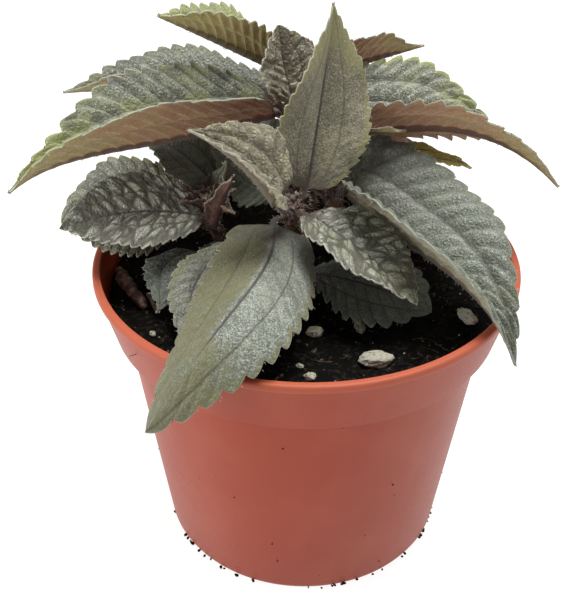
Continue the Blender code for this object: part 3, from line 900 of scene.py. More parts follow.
@dataclass
class Soil:
    """The peat that fills the pot, with crumbs, root fibres and fine white bits on it."""

    pot: Pot
    level: float = SOIL_LEVEL
    lump: float = 1.6  # how far its broad lumps stand up or sink
    crumble: float = 0.55  # the same for its fine crumbling
    rings: int = 46
    sides: int = 150
    gap: float = 0.3  # clearance from the pot
    seed: int = 11
    crumbs: int = 1000
    crumb_sizes: tuple[float, float] = (0.5, 1.3)
    fibres: int = 200
    fibre_lengths: tuple[float, float] = (2.0, 7.0)
    fibre_radii: tuple[float, float] = (0.1, 0.26)
    flecks: int = 120
    fleck_sizes: tuple[float, float] = (0.25, 0.85)

    def height_at(self, x: float, y: float) -> float:
        """Height of the soil at a place: its broad lumps with finer crumbling over them.

        Args:
            x: Place to the right of the pot's axis.
            y: Place behind it.

        Returns:
            The height.
        """
        broad = noise.noise(Vector((x * 0.09, y * 0.09, 3.7)))
        fine = noise.noise(Vector((x * 0.21, y * 0.21, 9.1)))
        crumbs = noise.noise(Vector((x * 0.55, y * 0.55, 5.3)))
        grains = noise.noise(Vector((x * 1.3, y * 1.3, 2.2)))
        return self.level + self.lump * (broad + 0.5 * fine) + self.crumble * (crumbs + 0.6 * grains)

    def build(self, finishes: Finishes) -> BVHTree:
        """Makes the soil and what lies in it.

        Args:
            finishes: The shared materials.

        Returns:
            The soil's surface in millimetres, for pieces that rest on it.
        """
        pot = self.pot
        ledge = pot.height - pot.band_height
        clear = 2 * self.gap
        edge = pot.inner_radius(self.level - 1.5) - clear
        rings = [(edge * (self.rings - step) / self.rings, self.level) for step in range(1, self.rings)]
        profile = [
            (0, pot.floor + self.gap),
            (pot.floor_radius() - clear, pot.floor + self.gap),
            (pot.body_top_radius - pot.wall - clear, ledge - 0.4),
            (pot.band_foot_radius - pot.wall - clear, ledge + 1.6),
            (edge, self.level - 1.5),
            *rings,
            (0, self.level),
        ]
        bm = spun(profile, self.sides)
        for vert in bm.verts:
            if vert.co.z > self.level - 1:
                vert.co.z = self.height_at(vert.co.x, vert.co.y)
        ground = BVHTree.FromBMesh(bm)
        finish_piece(bm, "peat", [finishes.peat], "soil")
        self.scatter(ground, finishes)
        return ground

    def scatter(self, ground: BVHTree, finishes: Finishes) -> None:
        """Strews crumbs, fibres and white flecks over the soil, by a seeded draw.

        Args:
            ground: The soil's surface.
            finishes: The shared materials.
        """
        draw = random.Random(self.seed)
        reach = self.pot.inner_radius(self.level) - 2.0
        crumbs = bmesh.new()
        for _ in range(self.crumbs):
            place = self.random_place(draw, reach)
            size = draw.uniform(*self.crumb_sizes) ** 2 * 1.1
            shape = (size, size * draw.uniform(0.6, 1.3), size * 0.7)
            add_lump(crumbs, dropped(ground, place), shape, draw)
        finish_piece(crumbs, "peat_crumbs", [finishes.crumb])
        fibres = bmesh.new()
        for _ in range(self.fibres):
            place = self.random_place(draw, reach)
            way = Vector((draw.gauss(0, 1), draw.gauss(0, 1), draw.uniform(-0.2, 0.3))).normalized()
            way *= draw.uniform(*self.fibre_lengths)
            bend = way.cross(Vector((0, 0, 1))) * draw.uniform(-0.25, 0.25)
            root = dropped(ground, place) + Vector((0, 0, 0.2))
            add_strand(fibres, root, way, bend, draw.uniform(*self.fibre_radii))
        finish_piece(fibres, "peat_fibres", [finishes.fibre])
        flecks = bmesh.new()
        for _ in range(self.flecks):
            place = self.random_place(draw, reach)
            size = draw.uniform(*self.fleck_sizes)
            add_lump(flecks, dropped(ground, place), (size, size * 0.8, size * 0.7), draw)
        finish_piece(flecks, "perlite_flecks", [finishes.perlite])

    @staticmethod
    def random_place(draw: random.Random, reach: float) -> tuple[float, float]:
        """A place drawn evenly over a disc.

        Args:
            draw: The seeded draw.
            reach: The disc's radius.

        Returns:
            The place.
        """
        radius = reach * math.sqrt(draw.random())
        angle = draw.uniform(0, math.tau)
        return radius * math.cos(angle), radius * math.sin(angle)


def dropped(ground: BVHTree, place: tuple[float, float]) -> Vector:
    """The point of the soil under a place."""
    hit = ground.ray_cast(Vector((*place, ABOVE)), Vector((0, 0, -1)))
    return hit[0] if hit[0] is not None else Vector((*place, SOIL_LEVEL))


def add_lump(bm: bmesh.types.BMesh, place: Vector, size: tuple[float, float, float],
             draw: random.Random) -> None:
    """Adds one small uneven lump, half sunk where it lies.

    Args:
        bm: The bmesh that it goes in.
        place: Its centre.
        size: Its length, breadth and height.
        draw: The seeded draw that shapes it.
    """
    made = bmesh.ops.create_icosphere(bm, subdivisions=1, radius=0.5)
    turn = Matrix.Rotation(draw.uniform(0, math.tau), 3, "Z")
    turn @= Matrix.Rotation(draw.uniform(0, 1), 3, "X")
    for vert in made["verts"]:
        stretched = Vector(map(lambda a, b: a * b, vert.co * draw.uniform(0.75, 1.25), size))
        vert.co = place + turn @ stretched


def add_strand(bm: bmesh.types.BMesh, root: Vector, way: Vector, bend: Vector, thick: float) -> None:
    """Adds one thin bent three-sided strand.

    Args:
        bm: The bmesh that it goes in.
        root: Where it starts.
        way: From its start to its end.
        bend: How far its middle stands off the straight line.
        thick: Its radius at the start.
    """
    made = bmesh.ops.create_grid(bm, x_segments=3, y_segments=4, size=1)
    side = way.orthogonal().normalized()
    other = way.cross(side).normalized()
    for vert in made["verts"]:
        turn = (vert.co.x + 1) * math.pi
        share = (vert.co.y + 1) / 2
        ring = (side * math.cos(turn) + other * math.sin(turn)) * thick * (1 - 0.6 * share)
        vert.co = root + way * share + bend * 4 * share * (1 - share) + ring
    bmesh.ops.remove_doubles(bm, verts=made["verts"], dist=0.001)


@dataclass
class Grain:
    """A lump of perlite resting on the soil."""

    name: str
    place: tuple[float, float]
    size: tuple[float, float, float]
    turn: float
    sunk: float = 0.5  # how deep it presses into the soil
    # Depth of its lumps, facets and pits as a share of its size, and how close they stand.
    unevenness: tuple[tuple[float, float], ...] = ((0.28, 2.2), (0.14, 5.0), (0.05, 14.0))

    def build(self, ground: BVHTree, finishes: Finishes) -> bpy.types.Object:
        """Makes the grain where its CAD node lies.

        Args:
            ground: The soil's surface.
            finishes: The shared materials.

        Returns:
            The grain's object.
        """
        bm = bmesh.new()
        bmesh.ops.create_icosphere(bm, subdivisions=5, radius=0.5)
        seed = Vector((*self.place, 0))
        for vert in bm.verts:
            swell = 1.0
            for depth, closeness in self.unevenness:
                swell += depth * noise.noise(vert.co * closeness + seed)
            vert.co *= swell
        bmesh.ops.scale(bm, verts=bm.verts, vec=Vector(self.size))
        bmesh.ops.rotate(bm, verts=bm.verts, matrix=Matrix.Rotation(math.radians(self.turn), 3, "Z"))
        bmesh.ops.translate(bm, verts=bm.verts, vec=(*self.place, SOIL_LEVEL))
        settle(bm, ground, self.sunk)
        return finish_piece(bm, "perlite_" + self.name, [finishes.perlite], self.name)


def settle(bm: bmesh.types.BMesh, ground: BVHTree, sunk: float) -> None:
    """Lowers a piece on the soil until it rests in it by a small depth.

    Args:
        bm: The piece.
        ground: The soil's surface.
        sunk: How deep it presses in at its lowest.
    """
    lifts = []
    for vert in bm.verts:
        hit = ground.ray_cast(vert.co + Vector((0, 0, ABOVE)), Vector((0, 0, -1)))
        if hit[0] is not None:
            lifts.append(hit[0].z - vert.co.z)
    bmesh.ops.translate(bm, verts=bm.verts, vec=(0, 0, max(lifts) - sunk))


@dataclass
class Stick:
    """A dry stub or twig lying on the soil, from one end to the other."""

    name: str
    course: tuple[tuple[float, float], ...]
    radii: tuple[float, ...]
    rough: float = 0.35  # how uneven it is, as a share of its radius
    sunk: float = 0.4  # how deep it presses into the soil
    sides: int = 20
    rows: int = 60

    def build(self, ground: BVHTree, finish: bpy.types.Material) -> bpy.types.Object:
        """Makes the stick where its CAD node lies.

        Args:
            ground: The soil's surface.
            finish: Its material.

        Returns:
            The stick's object.
        """
        bm = bmesh.new()
        bmesh.ops.create_grid(bm, x_segments=self.sides, y_segments=self.rows, size=1)
        knots = len(self.course) - 1
        for vert in bm.verts:
            turn = (vert.co.x + 1) * math.pi
            share = (vert.co.y + 1) / 2
            knot = min(int(share * knots), knots - 1)
            blend = share * knots - knot
            start, end = Vector(self.course[knot]), Vector(self.course[knot + 1])
            centre = start.lerp(end, blend)
            across = (end - start).normalized().orthogonal()
            radius = self.radii[knot] * (1 - blend) + self.radii[knot + 1] * blend
            radius *= min(1.0, math.sqrt(max(0.0, 1 - (2 * share - 1) ** 8)) + 0.02)
            way = Vector((math.cos(turn), math.sin(turn), 0))
            lump = 1 + self.rough * noise.noise(Vector((way.x * 1.2, way.y * 1.2, share * 9)))
            lump += 0.18 * noise.noise(Vector((way.x * 4, way.y * 4, share * 12)))
            flat = centre + across * radius * lump * way.x
            vert.co = (*flat, SOIL_LEVEL + radius * lump * way.y * 0.85)
        bmesh.ops.remove_doubles(bm, verts=bm.verts, dist=0.01)
        settle(bm, ground, self.sunk)
        piece = self.name.replace("dry", "withered")
        return finish_piece(bm, piece, [finish], self.name)


@dataclass
class Stem:
    """An upright stem, from its foot in the soil to the node that its leaves grow from."""

    name: str
    foot: tuple[float, float, float]
    top: tuple[float, float, float]
    radius: float = 2.2
    hole_depth: float = 10.0
    node_swell: float = 1.15
    node_start: float = 0.7  # share of the stem's height at which the node begins
    cap_start: float = 0.94  # share of its height at which its top rounds off
    hairs_per_mm: int = 12
    hair_lengths: tuple[float, float] = (0.8, 1.6)
    sides: int = 20
    rows: int = 36

    def radius_at(self, height: float) -> float:
        """The stem's radius at a height: even, with a slight swelling at the node near its top.

        Args:
            height: Height above the pot's foot.

        Returns:
            The radius.
        """
        share = (min(height, self.top[2]) - self.foot[2]) / (self.top[2] - self.foot[2])
        if share < self.node_start:
            return self.radius
        rise = math.sin(math.pi * (share - self.node_start) / (1 - self.node_start))
        return self.radius * (1 + (self.node_swell - 1) * rise)

    def centre_at(self, height: float) -> Vector:
        """The stem's centre at a height: upright in the soil, then leaning to its top.

        Args:
            height: Height above the pot's foot.

        Returns:
            The centre.
        """
        foot = Vector(self.foot)
        top = Vector(self.top)
        height = min(height, top.z)
        start = foot.z + self.hole_depth + 1.5
        if height <= start:
            return Vector((foot.x, foot.y, height))
        share = (height - start) / (top.z - start)
        eased = share * share * (3 - 2 * share)
        return Vector((foot.x + (top.x - foot.x) * eased, foot.y + (top.y - foot.y) * eased, height))

    def build(self, finishes: Finishes) -> bpy.types.Object:
        """Makes the stem with its hairs.

        Args:
            finishes: The shared materials.

        Returns:
            The stem's object.
        """
        bm = bmesh.new()
        bmesh.ops.create_grid(bm, x_segments=self.sides, y_segments=self.rows, size=1)
        for vert in bm.verts:
            turn = (vert.co.x + 1) * math.pi
            share = (vert.co.y + 1) / 2
            height = self.foot[2] + (self.top[2] - self.foot[2]) * share
            cap = math.sqrt(max(0.0, 1 - max(0.0, (share - self.cap_start) / (1 - self.cap_start)) ** 2))
            way = Vector((math.cos(turn), math.sin(turn), 0))
            bulge = 1 + 0.08 * noise.noise(Vector((way.x * 2, way.y * 2, height * 0.3)))
            vert.co = self.centre_at(height) + way * self.radius_at(height) * bulge * max(cap, 0.01)
        bmesh.ops.remove_doubles(bm, verts=bm.verts, dist=0.03)
        draw = random.Random(self.name)
        for _ in range(int((self.top[2] - SOIL_LEVEL) * self.hairs_per_mm)):
            height = draw.uniform(SOIL_LEVEL, self.top[2])
            angle = draw.uniform(0, math.tau)
            way = Vector((math.cos(angle), math.sin(angle), draw.uniform(-0.3, 0.5))).normalized()
            root = self.centre_at(height) + Vector((way.x, way.y, 0)) * self.radius_at(height) * 0.9
            add_hair(bm, root, way, draw.uniform(*self.hair_lengths), STEM_HAIR)
        materials = [finishes.stem, finishes.hair]
        return finish_piece(bm, "shoot_" + self.name, materials, self.name)


def add_hair(bm: bmesh.types.BMesh, root: Vector, way: Vector, length: float, finish: int) -> None:
    """Adds one stiff hair as a three-sided spike.

    Args:
        bm: The bmesh that it goes in.
        root: Where it grows from.
        way: The direction it points.
        length: Its length.
        finish: The material number of its faces.
    """
    place = Matrix.Translation(root + way * length / 2) @ way.to_track_quat("Z", "Y").to_matrix().to_4x4()
    made = bmesh.ops.create_cone(bm, cap_ends=False, segments=3, radius1=HAIR_FOOT, radius2=HAIR_TIP,
                                 depth=length, matrix=place)
    for vert in made["verts"]:
        for face in vert.link_faces:
            face.material_index = finish


@dataclass
class Leaf:
    """One leaf: its blade from base to tip, its petiole from the stem, its teeth, veins and hairs."""

    name: str
    stem: str
    joint: float  # height at which it leaves the stem
    base: tuple[float, float, float]
    tip: tuple[float, float, float]
    width: float
    roll: float = 0.0  # turn of the blade about its length
    twist: float = 0.0  # how much further it turns up to the tip
    arch: float = 0.0  # how far the midrib bows upwards
    peak: float = 0.5  # share of the length at which it bows most
    sweep: float = 0.0  # how far the midrib bows sideways
    fold: float = 20.0  # slope of each half beside the midrib
    curl: float = 15.0  # how much that slope falls off up to the margin
    widest: float = 0.42  # share of the length at which the blade is widest
    point: float = 1.2  # above 1 for a drawn-out tip, below 1 for a blunt one
    base_blunt: float = 0.6  # the same for the base
    ripple: float = 0.6  # height of the margin's waves
    waves: float = 2.5  # how many waves the margin has
    sway: float = 0.7  # height of the blade's slow unevenness
    sway_size: float = 9.0  # and its spacing
    teeth: int = 14
    notch: float = 1.2  # depth of the teeth
    quilt: float = 0.6  # height of the pillows between the side veins
    blister: float = 0.1  # height of the small blisters between the finest veins
    cell: float = 1.6  # their spacing at the leaf's base
    lobes: tuple[float, float] = (0.0, 0.0)  # how far each half reaches back beside the petiole
    halves: tuple[float, float] = (1.0, 1.0)  # widths of the left and right halves, as a share of half
    tint: tuple[float, float, float, float] = (0.2, 0.2, 0.4, 0.4)  # green of left, right, tip, margin
    flush_and_shade: float = 0.16  # share of the blade, from its base, in the skin's base tone: a maroon flush, on silver skins a painted shade
    skin: Skin = Skin.DULL
    under: Under = Under.BROWN
    hairs: int = 120
    step: float = 0.6  # spacing of the mesh across the blade
    node: bool = True  # whether it stands for a CAD leaf
    lateral: float = 0.44  # where the two long side veins run, as a share of the half width
    blade_thick: float = 0.4
    petiole_radius: float = 1.0
    petiole_rows: int = 8
    rows_a_tooth: int = 9
    tooth_lean: float = 0.25  # how far a tooth leans to the tip, as a share of its pitch
    crown_at: float = 0.72  # where a tooth's crown stands, as a share of its pitch
    barb: float = 0.3  # 0 for round teeth, 1 for pointed ones
    vein_sweep: float = 0.24  # how far a side vein runs forward from midrib to margin
    cell_growth: float = 1.5  # how much wider the blisters are at the tip than at the base
    hair_lengths: tuple[float, float] = (0.35, 0.9)
    start: Vector = field(init=False, repr=False)
    chord: Vector = field(init=False, repr=False)
    rise: Vector = field(init=False, repr=False)
    aside: Vector = field(init=False, repr=False)
    root: Vector = field(init=False, repr=False)
    seed: int = field(init=False, repr=False)

    def place_on(self, stems: dict[str, Stem]) -> None:
        """Works out the leaf's own directions and where its petiole leaves the stem.

        Args:
            stems: The stems by name.
        """
        self.start = Vector(self.base)
        self.chord = Vector(self.tip) - self.start
        along = self.chord.normalized()
        up = Vector((0, 0, 1))
        self.rise = (up - along * up.dot(along)).normalized()
        self.aside = self.rise.cross(along)
        self.root = stems[self.stem].centre_at(self.joint)
        self.seed = sum(map(ord, self.name))

    def bow(self, share: float, peak: float) -> float:
        """Rises from 0 at both ends of the blade to 1 at its peak.

        Args:
            share: Place along the blade, from 0 at its base to 1 at its tip.
            peak: The place along the blade where the bow is highest.

        Returns:
            The share of the bow's full height.
        """
        early = max(1.0, peak / (1 - peak))
        late = max(1.0, (1 - peak) / peak)
        return (share / peak) ** early * ((1 - share) / (1 - peak)) ** late

    def midrib(self, share: float) -> Vector:
        """The midrib's place at a share of the blade's length.

        Args:
            share: Place along the blade, from 0 at its base to 1 at its tip.

        Returns:
            The place.
        """
        place = self.start + self.chord * share
        place += self.rise * self.arch * self.bow(share, self.peak)
        return place + self.aside * self.sweep * self.bow(share, 0.5)

    def frame(self, share: float) -> tuple[Vector, Vector, Vector]:
        """The midrib's place with the directions to its left and out of its upper side.

        Args:
            share: Place along the blade, from 0 at its base to 1 at its tip.

        Returns:
            The place, the way to the left and the way up.
        """
        step = 0.01
        ahead = self.midrib(min(share + step, 1.0)) - self.midrib(max(share - step, 0.0))
        ahead.normalize()
        left = (self.aside - ahead * self.aside.dot(ahead)).normalized()
        left.rotate(Quaternion(ahead, math.radians(self.roll + self.twist * share)))
        return self.midrib(share), left, ahead.cross(left)

    def half_width(self, share: float) -> float:
        """Half the blade's width at a share of its length, laid flat.

        Args:
            share: Place along the blade, from 0 at its base to 1 at its tip.

        Returns:
            Half the width.
        """
        bulge = math.log(0.5) / math.log(self.widest)
        power = self.base_blunt + (self.point - self.base_blunt) * share
        return max(self.width / 2 * math.sin(math.pi * min(share, 1.0) ** bulge) ** power, 0.05)

    def width_at(self, share: float, across: float) -> float:
        """The width of the half that a place is on, laid flat."""
        return self.half_width(share) * self.halves[0 if across > 0 else 1]

    def rib_phase(self, share: float, out: float) -> float:
        """Counts side veins: whole numbers lie on a vein, which ends in a notch of the margin."""
        return self.teeth * (share + self.vein_sweep * (1 - out) ** 1.2)

    def tooth(self, share: float) -> float:
        """The margin's outline, from 0 in a notch to 1 at a tooth's crown: a long back, a steep front.

        Args:
            share: Place along the blade, from 0 at its base to 1 at its tip.

        Returns:
            How far the outline stands out, from 0 to 1.
        """
        part = (self.teeth * share) % 1.0
        if part > self.crown_at:
            return ((1 - part) / (1 - self.crown_at)) ** 0.6
        back = part / self.crown_at
        rounded = math.sin(math.pi / 2 * back) ** 0.8
        return rounded + (back - rounded) * self.barb

    def bite(self, share: float) -> float:
        """How far the notches cut in at a share of the length, in millimetres."""
        uneven = 1 + 0.35 * noise.noise(Vector((share * self.teeth * 0.7, self.seed, 4.2)))
        return min(self.notch * uneven, self.half_width(share) * 0.4) * smooth(0.03, 0.12, share)

    def blisters(self, share: float, across: float, width: float) -> tuple[float, float]:
        """The small blisters between the finest veins.

        Args:
            share: Place along the blade.
            across: Place across it, from -1 to 1.
            width: Half the blade's width there.

        Returns:
            How high the blister is in millimetres, and as a share of its full height.
        """
        growth = 1 + self.cell_growth * share
        size = self.cell * growth
        along = self.chord.length / self.cell * math.log(growth) / self.cell_growth
        sideways = across * width / size
        place = Vector((0.65 * sideways, along - 0.5 * abs(sideways), self.seed))
        place += noise.noise_vector(place * 0.9) * 0.4
        spots = noise.voronoi(place)[0]
        dome = smooth(0.0, 0.8, spots[1] - spots[0])
        return self.blister * dome / math.sqrt(growth), dome

    def pillow(self, share: float, across: float) -> float:
        """The pillows between the sunken side veins, from 0 in a vein to 1 on a crown.

        Args:
            share: Place along the blade, from 0 at its base to 1 at its tip.
            across: Place across the blade, from -1 at its right margin to 1 at its left.

        Returns:
            The share of a pillow's full height.
        """
        out = abs(across)
        pillow = abs(math.sin(math.pi * self.rib_phase(share, out))) ** 0.7
        if out < self.lateral:
            zone = math.sin(math.pi * min(max(out / self.lateral, 0.0), 1.0)) ** 0.6
            return (0.5 + 0.5 * pillow) * zone
        part = (out - self.lateral) / (1 - self.lateral)
        return pillow * min(1.0, part / 0.2) ** 0.6 * (1 - 0.8 * part * part)

    def relief(self, share: float, across: float, width: float) -> float:
        """How far the skin stands above the plain blade.

        Args:
            share: Place along the blade, from 0 at its base to 1 at its tip.
            across: Place across the blade, from -1 at its right margin to 1 at its left.
            width: Half the blade's width there.

        Returns:
            The height.
        """
        ends = smooth(0.0, 0.08, share) * (1 - smooth(0.88, 1.0, share))
        height = self.quilt * self.pillow(share, across) * min(1.0, width / 9)
        blister = self.blisters(share, across, width)[0] * smooth(0.0, 0.12, abs(across))
        return (height + blister) * ends

    def skin_point(self, share: float, across: float) -> Vector:
        """A point of the upper skin: across runs from -1 to 1.

        Args:
            share: Place along the blade, from 0 at its base to 1 at its tip.
            across: Place across the blade, from -1 at its right margin to 1 at its left.

        Returns:
            The point.
        """
        centre, left, up = self.frame(share)
        fold = math.radians(self.fold)
        curl = math.radians(self.curl) + 1e-4
        out = abs(across)
        side = math.copysign(1, across)
        width = self.width_at(share, across)
        reach = (math.sin(fold) - math.sin(fold - curl * out)) / curl
        rise = (math.cos(fold - curl * out) - math.cos(fold)) / curl
        wave = math.sin(math.tau * self.waves * share + self.seed % 7 + side)
        lift = width * rise + self.ripple * out * out * wave * min(1, 8 * share * (1 - share))
        place = (share * self.chord.length / self.sway_size, across * width / self.sway_size, self.seed)
        lift += self.sway * noise.noise(Vector(place)) * out + self.relief(share, across, width)
        back = self.lobes[0 if across > 0 else 1] * (1 - smooth(0.0, 0.35, share)) * out ** 1.5
        return centre + left * side * width * reach + up * lift - self.chord.normalized() * back

    def petiole_point(self, share: float, across: float, under: bool) -> Vector:
        """A point of the petiole's skin, from the stem at 0 to the blade's base at 1.

        Args:
            share: Place along the petiole.
            across: Place across it, from -1 to 1.
            under: Whether the point is on its underside.

        Returns:
            The point.
        """
        start, end = self.root, self.start
        _, left, up = self.frame(0.0)
        ahead = left.cross(up)
        reach = (end - start).length * 0.4
        first = start + (end - start).normalized() * reach
        last = end - ahead * reach
        rest = 1 - share
        centre = start * rest**3 + first * 3 * share * rest**2
        centre += last * 3 * share**2 * rest
        centre += end * share**3
        along = (first - start) * rest**2 + (last - first) * 2 * share * rest + (end - last) * share**2
        along.normalize()
        left = (left - along * left.dot(along)).normalized()
        up = along.cross(left)
        high = self.petiole_radius * math.sqrt(max(0.0, 1 - across * across))
        high *= 1.0 if under else 1 - 0.8 * share
        return centre + left * across * self.petiole_radius + up * (-high if under else high)

    def keel(self, share: float, out: float, width: float) -> float:
        """How far the veins stand out below the blade.

        Args:
            share: Place along the blade, from 0 at its base to 1 at its tip.
            out: Place between the midrib at 0 and the margin at 1.
            width: Half the blade's width there.

        Returns:
            How far the veins stand out.
        """
        from_midrib = out * width
        from_lateral = (out - self.lateral) * width
        tall = 0.3 + 1.1 * (1 - share) ** 1.5
        midrib = tall * math.exp(-((from_midrib / 0.75) ** 2))
        lateral = 0.3 * (1 - share) * math.exp(-((from_lateral / 0.5) ** 2))
        rib = 0.12 * (1 - abs(math.sin(math.pi * self.rib_phase(share, out)))) ** 2
        return midrib + lateral + rib * min(1.0, width / 6)

    def marks_at(self, share: float, across: float) -> dict[str, float]:
        """What the materials read at a place of the blade.

        Args:
            share: Place along the blade.
            across: Place across it, from -1 to 1.

        Returns:
            A value for each of the names in MARKS.
        """
        out = abs(across)
        width = self.width_at(share, across)
        left, right, tip, margin = self.tint
        from_margin = (1 - out) * width
        side = left if across > 0 else right
        side *= smooth(0.0, 0.15, out)
        green = max(side, margin * (1 - smooth(0.3, 3.2, from_margin)), tip * smooth(0.45, 0.92, share))
        near = math.exp(-out * width / 4)
        return {
            "from_midrib": out * width + 0.7 * smooth(0.55, 0.9, share),
            "from_lateral": (out - self.lateral) * width + 0.5 * smooth(0.45, 0.75, share),
            "from_margin": from_margin,
            "along": share,
            "rib": self.rib_phase(share, out),
            "cell": self.blisters(share, across, width)[1] if self.blister > 0.2 else 1.0,
            # swell dims the silver in the grooves between the pillows, a painted shade.
            "swell": 1 - min(1.0, self.quilt) * (1 - self.pillow(share, across)),
            "green": green,
            "flush_and_shade": (1 - smooth(0.0, self.flush_and_shade, share)) * (0.6 + 0.4 * near),
            "petiole": 0.0,
            "keel": self.keel(share, out, width),
        }

    def lay_blade(self, bm: bmesh.types.BMesh, rows: int) -> None:
        """Lays a flat grid's vertices on the petiole's top and the blade's upper skin.

        Args:
            bm: The grid, whose own layers keep each vertex's place on the leaf.
            rows: How many rows of faces it has.
        """
        layers = {key: bm.verts.layers.float[key] for key in MARKS}
        place_on_leaf = bm.verts.layers.float_vector[PLACE]
        for vert in bm.verts:
            across = vert.co.x
            row = round((vert.co.y + 1) / 2 * rows)
            vert[place_on_leaf] = (across, row, 0)
            if row < self.petiole_rows:
                vert.co = self.petiole_point(row / (self.petiole_rows - 1), across, under=False)
                for key, value in PETIOLE_MARKS.items():
                    vert[layers[key]] = value
                continue
            share = (row - self.petiole_rows + 1) / (rows - self.petiole_rows + 1)
            out = abs(across)
            crown = self.tooth(share)
            cut = self.bite(share) / self.half_width(share) * (1 - crown) * smooth(0.5, 1.0, out)
            lean = self.tooth_lean / self.teeth * crown * smooth(0.7, 1.0, out) * smooth(0, 0.1, share)
            vert.co = self.skin_point(min(1.0, share + lean), across * (1 - cut))
            for key, value in self.marks_at(share, across).items():
                vert[layers[key]] = value

    def build(self, stems: dict[str, Stem], finishes: Finishes) -> bpy.types.Object:
        """Makes the leaf: a fine grid laid on the blade, given its underside, margins and hairs.

        Args:
            stems: The stems by name.
            finishes: The shared materials.

        Returns:
            The leaf's object.
        """
        self.place_on(stems)
        columns = 2 * max(6, round(self.width / 2 / self.step))
        rows = self.petiole_rows + self.teeth * self.rows_a_tooth
        bm = bmesh.new()
        bmesh.ops.create_grid(bm, x_segments=columns, y_segments=rows, size=1)
        for key in MARKS:
            bm.verts.layers.float.new(key)
        bm.verts.layers.float_vector.new(PLACE)
        self.lay_blade(bm, rows)
        keel = bm.verts.layers.float["keel"]
        place_on_leaf = bm.verts.layers.float_vector[PLACE]
        end = [vert for vert in bm.verts if vert[place_on_leaf].y > rows - 0.5]
        bmesh.ops.pointmerge(bm, verts=end, merge_co=self.midrib(1.0))
        bm.normal_update()
        self.face_up(bm)
        ways = {}
        for vert in bm.verts:
            ways[(round(vert[place_on_leaf].x, 4), round(vert[place_on_leaf].y))] = vert.normal.copy()
        walls = bmesh.ops.extrude_face_region(bm, geom=bm.faces[:])
        lower = {item for item in walls["geom"] if isinstance(item, bmesh.types.BMVert)}
        for vert in lower:
            across, row = vert[place_on_leaf].x, round(vert[place_on_leaf].y)
            if row < self.petiole_rows:
                vert.co = self.petiole_point(row / (self.petiole_rows - 1), across, under=True)
                continue
            vert.co -= ways[(round(across, 4), row)] * (self.blade_thick + vert[keel])
        for face in bm.faces:
            if all(vert in lower for vert in face.verts):
                face.material_index = UNDERSIDE
        bmesh.ops.recalc_face_normals(bm, faces=bm.faces)
        self.grow_hairs(bm)
        materials = [finishes.skins[self.skin], finishes.unders[self.under], finishes.hair]
        piece = self.name.replace("leaf", "blade")
        node = self.name if self.node else None
        return finish_piece(bm, piece, materials, node, tidy_normals=False)

    def face_up(self, bm: bmesh.types.BMesh) -> None:
        """Turns the grid's faces to the upper side if they point below.

        Args:
            bm: The leaf's grid.
        """
        _, _, up = self.frame(0.5)
        total = Vector()
        for face in bm.faces:
            total += face.normal * face.calc_area()
        if total.dot(up) < 0:
            bmesh.ops.reverse_faces(bm, faces=bm.faces)
            bm.normal_update()

    def grow_hairs(self, bm: bmesh.types.BMesh) -> None:
        """Sets hairs on the petiole, under the midrib and along the margins, by a seeded draw.

        Args:
            bm: The leaf's shape, which the hairs are added to.
        """
        draw = random.Random(self.name)
        for _ in range(self.hairs):
            kind = draw.random()
            if kind < 0.25:
                share = draw.random()
                across = draw.uniform(-1, 1)
                under = draw.random() < 0.5
                root = self.petiole_point(share, across, under)
                centre = self.petiole_point(share, 0, False).lerp(self.petiole_point(share, 0, True), 0.5)
                way = (root - centre).normalized()
            elif kind < 0.6:
                share = draw.uniform(0, 0.8) ** 1.3
                centre, left, up = self.frame(share)
                root = centre - up * (self.blade_thick + self.keel(share, 0, 5.0) * 0.9)
                way = (-up + left * draw.uniform(-0.9, 0.9)).normalized()
            else:
                share = draw.uniform(0.02, 0.95)
                side = draw.choice((-1, 1))
                centre, left, up = self.frame(share)
                cut = self.bite(share) * (1 - self.tooth(share)) / self.half_width(share)
                root = self.skin_point(share, side * (1 - cut) * 0.99)
                outer = root - self.skin_point(share, side * 0.85)
                way = (outer.normalized() - up * 0.3 + left * draw.uniform(-0.2, 0.2)).normalized()
            ahead = self.chord.normalized() * draw.uniform(0.0, 0.4)
            add_hair(bm, root, (way + ahead).normalized(), draw.uniform(*self.hair_lengths), LEAF_HAIR)


